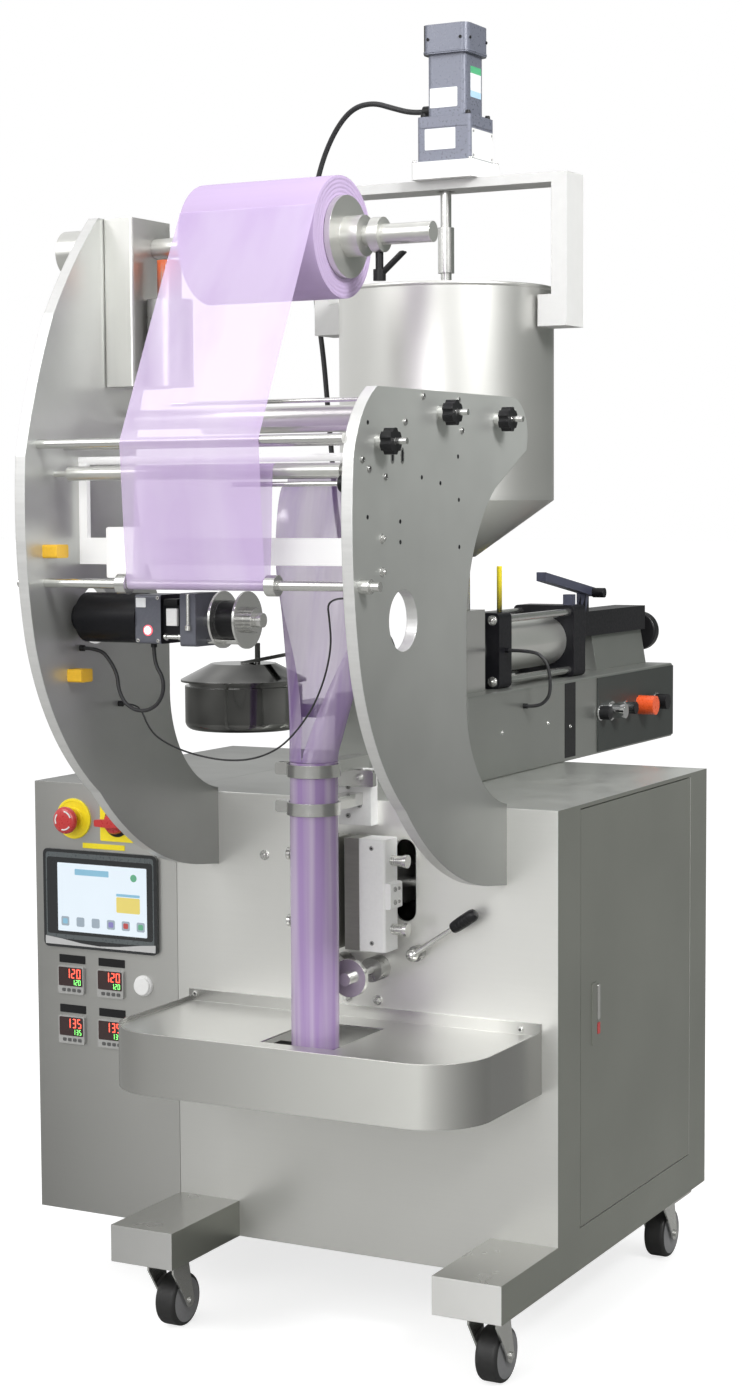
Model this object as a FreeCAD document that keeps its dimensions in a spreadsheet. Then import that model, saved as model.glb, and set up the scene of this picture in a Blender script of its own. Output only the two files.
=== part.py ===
import FreeCAD, Part
import math
import os
import re
import PartDesign
import Sketcher

# Vertical form fill seal machine for sachets, with a piston filler and a stirred hopper.
# Millimetres, +Z up, floor at Z = 0. X runs to the right seen from the front, Y to the back.
# Places are given from the cabinet datum: its left edge, its front face and its underside.

SIZES = {
    # Cabinet, its door and the control section at the left
    "cabinet_width": 848,
    "cabinet_depth": 571,
    "cabinet_height": 645,
    "control_width": 248,
    "seam_gap": 0.6,
    "sheet_wall": 2.5,
    "front_plate_wall": 4,
    "overcut": 1,
    "door_low": 60,
    "door_top_margin": 7,
    "door_front": 78,
    "door_rear_margin": 71,
    "door_gap": 1.5,
    "door_pan_depth": 15,
    "door_jamb_depth": 18,
    "door_pin_inset": 3,
    "door_pin_radius": 2,
    "running_gap": 0.3,
    "lock_height": 87,
    "lock_width": 16,
    "lock_inset": 38,
    "lock_proud": 1.5,
    # Reach of the side plates in front of the cabinet and of the filler behind its front face
    "front_reach": 455,
    "rear_reach": 1085,
    # Skid legs and casters
    "leg_width": 100,
    "leg_height": 52,
    "leg_reach": 182,
    "caster_height": 110,
    "caster_plate_side": 84,
    "caster_plate_wall": 5,
    "caster_front_inset": 68,
    "caster_rear_inset": 78,
    "caster_trail": 24,
    "caster_race_radius": 26,
    "king_pin_radius": 7,
    "caster_race_height": 9,
    "fork_wall": 3,
    "fork_depth": 40,
    "fork_gap": 3,
    "wheel_radius": 37.5,
    "wheel_width": 32,
    "wheel_edge": 6,
    "axle_radius": 5,
    "axle_fit": 0.05,
    "axle_end": 3,
    "pedal_length": 30,
    "pedal_gap": 4,
    "cheek_radius": 10,
    # Front tray over the cross jaws
    "tray_left_inset": 20,
    "tray_right_inset": 24,
    "tray_reach": 245,
    "tray_drop": 300,
    "tray_depth": 85,
    "tray_wall": 2,
    "tray_corner": 85,
    "tray_rim_drop": 6,
    "tray_flange": 11,
    "hole_left_reach": 52,
    "hole_right_reach": 60,
    "tray_hole_front": 195,
    "tray_hole_back": 50,
    # Operator controls
    "screen_left": 17,
    "screen_width": 200,
    "screen_height": 147,
    "screen_drop": 99,
    "screen_wall": 6,
    "screen_corner": 8,
    "stop_across": 70,
    "stop_drop": 53,
    "stop_disc_radius": 30,
    "stop_head_radius": 20,
    "stop_neck_radius": 14,
    "stop_head_wall": 12,
    "stop_dome": 37,
    "stop_stem_radius": 9,
    "stop_stand_off": 14,
    "stop_travel": 6,
    "stop_seat_depth": 30,
    "stem_fit": 0.05,
    "button_disc_wall": 3,
    "selector_across": 147,
    "selector_drop": 54,
    "selector_plate": 58,
    "selector_radius": 17,
    "selector_wall": 12,
    "grip_overhang": 8,
    "grip_height": 10,
    "grip_width": 12,
    "switch_stem_radius": 5,
    "switch_stem_reach": 20,
    "controller_width": 46,
    "controller_height": 42,
    "controller_wall": 5,
    "controller_corner": 3,
    "controller_left": 39,
    "controller_pitch": 70,
    "controller_drop": 391,
    "controller_rise": 75,
    "push_across": 189,
    "push_drop": 293,
    "push_radius": 15,
    "push_wall": 8,
    # Side plates that carry the film: reach in front of the cabinet and rise over its top
    "plate_wall": 15,
    "plate_left_inner": 320,
    "plate_right_inner": 758,
    "plate_hole_radius": 38,
    "plate_hole_out": 302,
    "plate_hole_rise": 266,
    "plate_foot_drop": 104,
    "plate_toe_out": 44,
    "plate_toe_drop": 99,
    "plate_heel_rise": 6,
    "belly_out": 297,
    "belly_rise": 30,
    "waist_out": 124,
    "waist_low_rise": 163,
    "waist_high_rise": 251,
    "right_bulge_out": 418,
    "right_bulge_rise": 231,
    "right_brow_out": 428,
    "right_brow_rise": 463,
    "right_top_out": 367,
    "right_top_rise": 549,
    "right_horn_in": 18,
    "right_tail_in": 65,
    "right_tail_rise": 479,
    "right_neck_out": 35,
    "right_neck_rise": 428,
    "left_bulge_out": 440,
    "left_bulge_rise": 245,
    "left_brow_out": 452,
    "left_brow_rise": 471,
    "left_shoulder_out": 386,
    "left_shoulder_rise": 652,
    "left_top_out": 283,
    "left_back_out": 165,
    "left_neck_rise": 595,
    "toe_arc": 400,
    "right_belly_arc": 330,
    "left_belly_arc": 360,
    "bulge_arc": 800,
    "right_brow_arc": 120,
    "left_brow_arc": 900,
    "shoulder_arc": 700,
    "horn_arc": 50,
    "right_neck_arc": 230,
    "left_neck_arc": 300,
    "waist_arc": 150,
    # Film, roll and unwind
    "film_left": 446,
    "film_width": 200,
    "film_wall": 0.8,
    "film_gap": 0.3,
    "film_step": 15,
    "fall_depth": 3,
    "fall_start": 2,
    "roll_out": 215,
    "roll_rise": 745,
    "roll_radius": 77,
    "shaft_radius": 13,
    "flange_radius": 52,
    "flange_wall": 8,
    "flange_hub_radius": 26,
    "flange_hub_length": 24,
    "hub_radius": 30,
    "hub_length": 82,
    "hub_recess": 2,
    "housing_width": 45,
    "housing_front": 272,
    "housing_back": 178,
    "housing_above": 36,
    "housing_height": 218,
    "housing_corner": 4,
    "can_radius": 30,
    "can_high": 113,
    "can_inset": 42,
    "tension_radius": 16,
    "tension_height": 51,
    "clamp_start": 12,
    "clamp_wall": 14,
    "clamp_radius": 22,
    "clamp_stem_radius": 5,
    "clamp_stem_length": 22,
    "clamp_knob_radius": 8,
    "clamp_knob_wall": 14,
    "clamp_bar_radius": 4,
    "clamp_bar_length": 46,
    "clamp_bar_tilt": 50,
    # Cross bars: reach in front of the cabinet face and rise over its top
    "front_bar_out": 424,
    "front_bar_rise": 486,
    "front_bar_radius": 6,
    "guide_bar_out": 366,
    "guide_bar_rise": 483,
    "guide_bar_radius": 4,
    "thin_bar_out": 110,
    "thin_bar_rise": 546,
    "thin_bar_radius": 3,
    "lower_bar_out": 412,
    "lower_bar_rise": 311,
    "lower_bar_radius": 6,
    "lower_bar_overhang": 26,
    "lower_nut_radius": 9,
    "lower_nut_length": 14,
    "collar_radius": 13,
    "collar_length": 14,
    "middle_roller_out": 198,
    "middle_roller_rise": 522,
    "middle_roller_radius": 13,
    "rear_roller_out": 32,
    "rear_roller_rise": 518,
    "rear_roller_radius": 12,
    "nip_roller_out": 388,
    "nip_roller_rise": 449,
    "nip_roller_radius": 9,
    "turn_roller_out": 22,
    "turn_roller_rise": 453,
    "turn_roller_radius": 10,
    "bar_end_radius": 4,
    "roller_end_gap": 4,
    "nip_end_gap": 22,
    # Star knobs on the right plate and the short guide pin inside it
    "star_radius": 16,
    "star_wall": 14,
    "star_lobes": 6,
    "star_scallop": 5,
    "star_hub_radius": 9,
    "star_hub_length": 10,
    "stud_radius": 4,
    "stud_length": 15,
    "guide_pin_out": 395,
    "guide_pin_rise": 433,
    "guide_pin_radius": 3,
    "guide_pin_length": 150,
    "guide_cap_radius": 10,
    "guide_cap_length": 20,
    # Frame behind the film that carries the film sensor, and the two sensors on the left plate
    "sensor_bar_out": 336,
    "sensor_bar_rise": 333,
    "sensor_bar_height": 34,
    "sensor_bar_wall": 8,
    "sensor_head_in": 52,
    "sensor_head_width": 48,
    "sensor_head_height": 65,
    "sensor_head_wall": 16,
    "sensor_head_drop": 17,
    "sensor_post_wall": 12,
    "sensor_top_rise": 466,
    "sensor_top_radius": 5,
    "edge_sensor_length": 22,
    "edge_sensor_width": 26,
    "edge_sensor_height": 17,
    "edge_sensor_corner": 3,
    "upper_sensor_out": 406,
    "upper_sensor_rise": 351,
    "lower_sensor_out": 356,
    "lower_sensor_rise": 190,
    # Forming tube and its clamp rings
    "tube_across": 552,
    "tube_out": 135,
    "tube_radius": 33,
    "tube_rise": 67,
    "tube_dip": 19,
    "ring_rise": 47,
    "ring_lower_drop": 4,
    "ring_height": 17,
    "ring_wall": 3,
    "ring_arm_width": 26,
    "ring_ear_reach": 24,
    "ring_ear_wall": 10,
    "ring_block_width": 50,
    "ring_block_depth": 20,
    "ring_block_drop": 33,
    "ring_plate_width": 68,
    "ring_plate_wall": 10,
    "ring_plate_rise": 22,
    "ring_plate_height": 23,
    # Vertical sealing jaws and their slots
    "slot_reach": 52,
    "slot_width": 32,
    "slot_drop": 51,
    "slot_length": 114,
    "jaw_drop": 45,
    "jaw_length": 154,
    "jaw_bar_width": 22,
    "jaw_body_width": 41,
    "jaw_front": 62,
    "jaw_back": 22,
    "jaw_gap": 5,
    "jaw_step": 2,
    "jaw_chamfer": 4,
    "jaw_arm_wall": 8,
    "jaw_arm_height": 50,
    "jaw_arm_lap": 10,
    "jaw_arm_reach": 48,
    "jaw_stroke": 12,
    "spring_radius": 6,
    "spring_length": 20,
    "spring_head_radius": 9,
    "spring_head_wall": 5,
    "spring_inset": 30,
    "spring_out": 42,
    "rail_radius": 8,
    "rail_in": 32,
    "rail_rise": 50,
    "rail_margin": 14,
    "rail_block_side": 24,
    # Pull wheels under the jaws
    "pull_drop": 33,
    "pull_radius": 26,
    "pull_wall": 8,
    "pull_front": 91,
    "pull_shaft_radius": 6,
    "pull_hub_radius": 9,
    "pull_hub_length": 12,
    "pull_bearing_radius": 17,
    "pull_bearing_length": 26,
    "pull_fit": 0.05,
    # Hand lever on the front plate
    "lever_reach": 88,
    "lever_drop": 8,
    "lever_boss_radius": 11,
    "lever_boss_length": 12,
    "lever_rod_radius": 4,
    "lever_pin_radius": 5,
    "lever_hub_radius": 9,
    "lever_hub_length": 16,
    "lever_tilt": 56,
    "lever_rod_length": 75,
    "grip_radius": 9,
    "grip_length": 42,
    # Cross jaws under the tray
    "cross_jaw_width": 148,
    "cross_jaw_depth": 34,
    "cross_jaw_height": 40,
    "cross_jaw_rise": 20,
    "cross_jaw_gap": 3,
    "cross_rod_radius": 8,
    "cross_rod_reach": 215,
    "cross_rod_inset": 14,
    # Piston filler behind the side plates
    "base_left": 394,
    "base_right": 614,
    "base_front": 213,
    "base_back": 1037,
    "base_height": 128,
    "base_corner": 4,
    "panel_start": 697,
    "panel_rise": 4,
    "panel_wall": 2,
    "dial_drop": 61,
    "dial_one_in": 10,
    "dial_one_radius": 11,
    "dial_one_reach": 18,
    "dial_two_in": 56,
    "dial_two_radius": 12,
    "dial_two_reach": 26,
    "dial_three_in": 118,
    "dial_three_radius": 10,
    "dial_three_reach": 20,
    "dial_four_in": 181,
    "dial_four_radius": 16,
    "dial_four_reach": 30,
    "dial_five_in": 259,
    "dial_five_radius": 13,
    "dial_five_reach": 22,
    "filler_inset": 76,
    "filler_rise": 58,
    "cylinder_radius": 40,
    "end_block_width": 106,
    "end_block_height": 115,
    "end_block_corner": 8,
    "front_block_start": 370,
    "front_block_depth": 45,
    "back_block_start": 655,
    "back_block_depth": 48,
    "tie_rod_radius": 6,
    "tie_rod_inset": 11,
    "air_width": 56,
    "air_rise": 100,
    "air_height": 41,
    "air_end": 1030,
    "knob_radius": 34,
    "knob_wall": 22,
    "knob_edge": 4,
    "knob_stem_radius": 9,
    "knob_rise": 53,
    "cover_start": 812,
    "cover_end": 1034,
    "cover_left_reach": 38,
    "cover_foot_reach": 28,
    "cover_top_reach": 18,
    "cover_height": 58,
    "valve_width": 92,
    "valve_depth": 76,
    "valve_height": 122,
    "neck_wall": 8,
    "ferrule_radius": 31,
    "ferrule_rim_radius": 36,
    "ferrule_rim_wall": 9,
    "nozzle_radius": 16,
    "nozzle_length": 28,
    "linkage_foot": 28,
    "linkage_width": 16,
    "linkage_wall": 14,
    "linkage_start": 564,
    "linkage_end": 772,
    "linkage_start_rise": 171,
    "linkage_end_rise": 139,
    "linkage_knob_radius": 8,
    "linkage_knob_length": 20,
    "fitting_radius": 4,
    "fitting_height": 70,
    "fitting_inset": 6,
    # Hopper and stirrer
    "hopper_inset": 74,
    "hopper_in": 297,
    "hopper_radius": 158,
    "hopper_wall": 3,
    "hopper_lip": 4,
    "throat_rise": 201,
    "cone_height": 83,
    "shell_height": 309,
    "throat_radius": 42,
    "throat_floor": 6,
    "beam_half_width": 205,
    "beam_depth": 60,
    "beam_rise": 156,
    "beam_wall": 14,
    "beam_clearance": 6,
    "post_wall": 24,
    "bracket_drop": 16,
    "bracket_height": 45,
    "bracket_width": 45,
    "lug_width": 36,
    "lug_bite": 0.5,
    "motor_side": 62,
    "motor_corner": 8,
    "motor_height": 89,
    "motor_cap_height": 42,
    "motor_cap_side": 74,
    "motor_cap_corner": 12,
    "gearbox_width": 86,
    "gearbox_depth": 80,
    "gearbox_height": 65,
    "gearbox_corner": 5,
    "gear_plate_wall": 25,
    "gear_plate_margin": 7,
    "gear_offset": 16,
    "gland_radius": 8,
    "gland_length": 14,
    "motor_gland_length": 20,
    "gland_rise": 14,
    "stirrer_radius": 8,
    "coupling_radius": 12,
    "coupling_drop": 66,
    "coupling_length": 66,
    "stirrer_rise": 28,
    "paddle_reach": 120,
    "paddle_height": 24,
    "paddle_wall": 4,
    "paddle_pitch": 90,
    "shaft_seat_drop": 24,
    # Round pan at the left behind the film
    "pan_across": 302,
    "pan_in": 104,
    "pan_radius": 86,
    "pan_rise": 81,
    "pan_height": 64,
    "pan_edge": 12,
    "lid_gap": 6,
    "lid_neck_inset": 6,
    "lid_overhang": 6,
    "lid_rim": 3,
    "lid_height": 32,
    "lid_top_radius": 48,
    "pan_arm_width": 60,
    "pan_arm_depth": 100,
    "pan_arm_wall": 20,
    "pan_arm_rise": 14,
    "lid_bar_length": 76,
    "lid_bar_width": 14,
    "lid_bar_wall": 5,
    "lid_bar_tilt": 11,
    "lid_pin_radius": 4,
    "lid_pin_height": 30,
    # Date coder under the film
    "coder_out": 340,
    "coder_rise": 265,
    "coder_motor_radius": 32,
    "coder_mount_radius": 18,
    "coder_mount_length": 14,
    "coder_motor_length": 70,
    "coder_flange_length": 22,
    "coder_block_length": 38,
    "coder_block_height": 62,
    "coder_block_depth": 58,
    "coder_slide_length": 28,
    "coder_slide_height": 50,
    "coder_slide_depth": 44,
    "coder_head_length": 23,
    "coder_head_height": 67,
    "coder_head_depth": 56,
    "coder_barrel_radius": 10,
    "coder_barrel_length": 22,
    "spool_radius": 36,
    "spool_wall": 3,
    "spool_core_radius": 24,
    "spool_gap": 32,
    "spool_hub_radius": 15,
    "spool_hub_length": 12,
    "spool_end_radius": 9,
    "spool_end_length": 10,
    "lower_rod_radius": 4,
    "lower_rod_length": 56,
    "lower_rod_drop": 27,
    # Cords and the small glands they end in
    "cord_trim": 0.45,
    "stirrer_cord_radius": 4,
    "coder_cord_radius": 2.5,
    "wire_radius": 1.2,
    "hose_radius": 2.7,
    "wire_gland_radius": 4,
    "wire_gland_length": 6,
    "hose_gland_rise": 101,
    "hose_gland_in": 392.5,
    "top_gland_across": 430,
    "top_gland_in": 345,
    "coder_gland_across": 438,
    "coder_gland_out": 345,
    "plate_gland_out": 338,
    "plate_gland_rise": 224,
    "wire_start_out": 250,
    "wire_start_rise": 145,
    "wire_end_out": 411,
    "wire_end_rise": 297,
}

# Heights and places worked out from the sizes
WORKED_OUT = {
    "door_high": "cabinet_height - door_top_margin",
    "door_back": "cabinet_depth - door_rear_margin",
    "lock_low": "(door_low + door_high - lock_height) / 2",
    "left_leg_start": "control_width",
    "tray_left": "control_width + tray_left_inset",
    "tray_right": "cabinet_width - tray_right_inset",
    "tray_high": "cabinet_height - tray_drop",
    "tray_low": "tray_high - tray_depth",
    "tray_hole_left": "tube_across - hole_left_reach",
    "tray_hole_right": "tube_across + hole_right_reach",
    "screen_low": "cabinet_height - screen_drop - screen_height",
    "stop_up": "cabinet_height - stop_drop",
    "selector_up": "cabinet_height - selector_drop",
    "controller_low": "cabinet_height - controller_drop",
    "push_up": "cabinet_height - push_drop",
    "plate_hole_up": "cabinet_height + plate_hole_rise",
    "roll_up": "cabinet_height + roll_rise",
    "housing_high": "roll_up + housing_above",
    "housing_low": "housing_high - housing_height",
    "shaft_end": "plate_right_inner + plate_wall",
    "front_bar_up": "cabinet_height + front_bar_rise",
    "guide_bar_up": "cabinet_height + guide_bar_rise",
    "thin_bar_up": "cabinet_height + thin_bar_rise",
    "lower_bar_up": "cabinet_height + lower_bar_rise",
    "middle_roller_up": "cabinet_height + middle_roller_rise",
    "rear_roller_up": "cabinet_height + rear_roller_rise",
    "nip_roller_up": "cabinet_height + nip_roller_rise",
    "turn_roller_up": "cabinet_height + turn_roller_rise",
    "guide_pin_up": "cabinet_height + guide_pin_rise",
    "sensor_bar_low": "cabinet_height + sensor_bar_rise",
    "sensor_top_up": "cabinet_height + sensor_top_rise",
    "sensor_head_left": "plate_left_inner + sensor_head_in",
    "tube_top": "cabinet_height + tube_rise",
    "tube_bottom": "tray_high - tube_dip",
    "ring_low": "cabinet_height + ring_rise",
    "ring_lower_low": "cabinet_height - ring_lower_drop",
    "ring_block_low": "cabinet_height - ring_block_drop",
    "ring_plate_low": "cabinet_height + ring_plate_rise",
    "slot_left": "tube_across + slot_reach",
    "slot_high": "cabinet_height - slot_drop",
    "slot_low": "slot_high - slot_length",
    "jaw_high": "cabinet_height - jaw_drop",
    "jaw_low": "jaw_high - jaw_length",
    "rail_up": "slot_low + rail_rise",
    "jaw_arm_low": "rail_up - jaw_arm_height / 2",
    "pull_up": "jaw_low - pull_drop",
    "lever_across": "tube_across + lever_reach",
    "lever_up": "jaw_low - lever_drop",
    "cross_jaw_left": "tube_across - cross_jaw_width / 2",
    "cross_jaw_low": "tray_low + cross_jaw_rise",
    "base_high": "cabinet_height + base_height",
    "dial_up": "base_high - dial_drop",
    "filler_across": "base_right - filler_inset",
    "filler_up": "base_high + filler_rise",
    "air_high": "base_high + air_rise",
    "air_low": "air_high - air_height",
    "knob_up": "base_high + knob_rise",
    "cover_high": "base_high + cover_height",
    "cover_left": "filler_across - cover_left_reach",
    "cover_foot": "filler_across + cover_foot_reach",
    "cover_top": "filler_across + cover_top_reach",
    "hopper_across": "base_right - hopper_inset",
    "hopper_throat": "base_high + throat_rise",
    "hopper_shoulder": "hopper_throat + cone_height",
    "hopper_rim": "hopper_shoulder + shell_height",
    "bracket_high": "hopper_rim - bracket_drop",
    "bracket_low": "bracket_high - bracket_height",
    "beam_high": "hopper_rim + beam_rise",
    "gearbox_low": "beam_high + gear_plate_wall",
    "motor_low": "gearbox_low + gearbox_height",
    "motor_high": "motor_low + motor_height",
    "motor_across": "hopper_across + gear_offset",
    "coupling_high": "beam_high - coupling_drop",
    "stirrer_bottom": "hopper_shoulder + stirrer_rise",
    "pan_low": "cabinet_height + pan_rise",
    "coder_up": "cabinet_height + coder_rise",
}

doc = FreeCAD.newDocument("PackagingMachine")
sheet = doc.addObject("Spreadsheet::Sheet", "Sizes")
for row, (name, number) in enumerate(SIZES.items(), start=1):
    sheet.set("A%d" % row, name)
    sheet.set("B%d" % row, str(number))
    sheet.setAlias("B%d" % row, name)
doc.recompute()

ALIAS = re.compile(r"\b(?!abs\b|sin\b|cos\b|tan\b)[a-z][a-z_]*\b")
AXIS_TURNS = {
    "x": FreeCAD.Rotation(FreeCAD.Vector(0, 1, 0), 90),
    "y": FreeCAD.Rotation(FreeCAD.Vector(1, 0, 0), -90),
    "z": FreeCAD.Rotation(),
}


def bound(text):
    """An expression on the sheet's cells, from one that names them alone."""
    def cell(word):
        name = word.group()
        return "(%s)" % bound(WORKED_OUT[name]) if name in WORKED_OUT else "Sizes." + name

    return ALIAS.sub(cell, str(text))


def value(text):
    """The number that an expression gives now."""
    return float(sheet.evalExpression(bound(text)))


def place(item, x, y, z):
    """Put an item at a place given from the cabinet datum, bound to the sheet."""
    datum = {
        "x": "(0 - cabinet_width - lock_proud) / 2 + (%s)" % x,
        "y": "(front_reach - rear_reach) / 2 + (%s)" % y,
        "z": "caster_height + (%s)" % z,
    }
    for axis, text in datum.items():
        item.setExpression("Placement.Base." + axis, bound(text))
    return item


def point(x, y, z):
    """A vector in the row frame for a place given from the cabinet datum."""
    return FreeCAD.Vector(
        value("(0 - cabinet_width - lock_proud) / 2 + (%s)" % x),
        value("(front_reach - rear_reach) / 2 + (%s)" % y),
        value("caster_height + (%s)" % z),
    )


def box(name, x, y, z, length, width, height):
    """A block with its low corner at x, y, z."""
    item = doc.addObject("Part::Box", name)
    for prop, text in zip(("Length", "Width", "Height"), (length, width, height)):
        item.setExpression(prop, bound(text))
    return place(item, x, y, z)


def rod(name, radius, length, x, y, z, axis="z"):
    """A round bar that starts at x, y, z and runs along an axis."""
    item = doc.addObject("Part::Cylinder", name)
    item.Placement = FreeCAD.Placement(FreeCAD.Vector(), AXIS_TURNS[axis])
    item.setExpression("Radius", bound(radius))
    item.setExpression("Height", bound(length))
    return place(item, x, y, z)


def fuse(name, items):
    """One object of several solids joined."""
    item = doc.addObject("Part::MultiFuse", name)
    item.Shapes = items
    return item


def cut(name, base, tools):
    """A base less one or more tools."""
    tool = tools[0] if len(tools) == 1 else fuse(name + "Tools", tools)
    item = doc.addObject("Part::Cut", name)
    item.Base = base
    item.Tool = tool
    return item


def origin_plane(body, role):
    """One of a body's own origin planes."""
    return next(part for part in body.Origin.OriginFeatures if part.Role == role)


def arc_between(start, end, radius):
    """The shorter arc between two points; its centre is at the left when the radius is positive."""
    chord = end - start
    half = chord.Length / 2
    rise = math.sqrt(max(radius * radius - half * half, 0))
    left = FreeCAD.Vector(-chord.y, chord.x, 0).normalize()
    centre = start + chord * 0.5 + left * math.copysign(rise, radius)
    first = math.atan2(start.y - centre.y, start.x - centre.x)
    last = math.atan2(end.y - centre.y, end.x - centre.x)
    circle = Part.Circle(centre, FreeCAD.Vector(0, 0, 1), abs(radius))
    if radius > 0:
        return Part.ArcOfCircle(circle, first, last), True
    return Part.ArcOfCircle(circle, last, first), False


def outline(body, name, plane, corners):
    """A closed outline through corners (u, v, radius of the arc to the next corner or None)."""
    sketch = body.newObject("Sketcher::SketchObject", name)
    sketch.AttachmentSupport = [(origin_plane(body, plane), "")]
    sketch.MapMode = "FlatFace"
    spots = [FreeCAD.Vector(value(u), value(v), 0) for u, v, _ in corners]
    ends = []
    for index, (_, _, radius) in enumerate(corners):
        start, end = spots[index], spots[(index + 1) % len(spots)]
        if radius is None:
            sketch.addGeometry(Part.LineSegment(start, end), False)
            ends.append((1, 2))
            continue
        arc, forward = arc_between(start, end, value(radius))
        sketch.addGeometry(arc, False)
        ends.append((1, 2) if forward else (2, 1))
        bind_datum(sketch, Sketcher.Constraint("Radius", index, abs(value(radius))), "abs(%s)" % radius)
    for index in range(len(corners)):
        following = (index + 1) % len(corners)
        sketch.addConstraint(Sketcher.Constraint(
            "Coincident", index, ends[index][1], following, ends[following][0]))
    for index, (u, v, _) in enumerate(corners):
        spot = ends[index][0]
        bind_datum(sketch, Sketcher.Constraint("DistanceX", -1, 1, index, spot, value(u)), u)
        bind_datum(sketch, Sketcher.Constraint("DistanceY", -1, 1, index, spot, value(v)), v)
    return sketch


def bind_datum(sketch, constraint, text):
    """Add a sketch dimension that follows the sheet."""
    number = sketch.addConstraint(constraint)
    sketch.setExpression("Constraints[%d]" % number, bound(text))


def circle(body, name, plane, u, v, radius):
    """A round outline."""
    sketch = body.newObject("Sketcher::SketchObject", name)
    sketch.AttachmentSupport = [(origin_plane(body, plane), "")]
    sketch.MapMode = "FlatFace"
    centre = FreeCAD.Vector(value(u), value(v), 0)
    sketch.addGeometry(Part.Circle(centre, FreeCAD.Vector(0, 0, 1), value(radius)), False)
    bind_datum(sketch, Sketcher.Constraint("Radius", 0, value(radius)), radius)
    bind_datum(sketch, Sketcher.Constraint("DistanceX", -1, 1, 0, 3, value(u)), u)
    bind_datum(sketch, Sketcher.Constraint("DistanceY", -1, 1, 0, 3, value(v)), v)
    return sketch


def pad(body, name, sketch, length, reverse=False):
    """A slab raised from an outline."""
    item = body.newObject("PartDesign::Pad", name)
    item.Profile = sketch
    item.setExpression("Length", bound(length))
    item.Reversed = reverse
    return item


def pocket(body, name, sketch, reverse=False):
    """A hole through a slab along an outline."""
    item = body.newObject("PartDesign::Pocket", name)
    item.Profile = sketch
    item.Type = 1
    item.Reversed = reverse
    return item


def turned(name, corners, x, y, z):
    """A body of revolution about a vertical axis at x, y, z, from its half outline."""
    body = doc.addObject("PartDesign::Body", name)
    sketch = outline(body, name + "Outline", "XZ_Plane", corners)
    spin = body.newObject("PartDesign::Revolution", name + "Turn")
    spin.Profile = sketch
    spin.ReferenceAxis = (sketch, ["V_Axis"])
    spin.Angle = 360
    return place(body, x, y, z)


def slab(name, plane, corners, length, x, y, z, reverse=False):
    """A padded outline set at x, y, z."""
    body = doc.addObject("PartDesign::Body", name)
    sketch = outline(body, name + "Outline", plane, corners)
    pad(body, name + "Pad", sketch, length, reverse)
    return place(body, x, y, z)


def rounded(name, plane, u, v, width, height, corner, length, x, y, z, reverse=False):
    """A block with four rounded edges, its low corner at u, v in a plane."""
    right = "%s + %s" % (u, width)
    top = "%s + %s" % (v, height)
    return slab(name, plane, [
        ("%s + %s" % (u, corner), v, None),
        ("%s - %s" % (right, corner), v, corner),
        (right, "%s + %s" % (v, corner), None),
        (right, "%s - %s" % (top, corner), corner),
        ("%s - %s" % (right, corner), top, None),
        ("%s + %s" % (u, corner), top, corner),
        (u, "%s - %s" % (top, corner), None),
        (u, "%s + %s" % (v, corner), corner),
    ], length, x, y, z, reverse)


def spun(name, corners, x, y, z, axis):
    """A body of revolution about an axis along x, y or z."""
    body = turned(name, corners, x, y, z)
    body.Placement = FreeCAD.Placement(body.Placement.Base, AXIS_TURNS[axis])
    return place(body, x, y, z)


SUBPARTS = []


def node(label, item):
    """Name an object as one of the sub-parts that are written out."""
    item.Label = label
    SUBPARTS.append(item)
    return item


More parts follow.
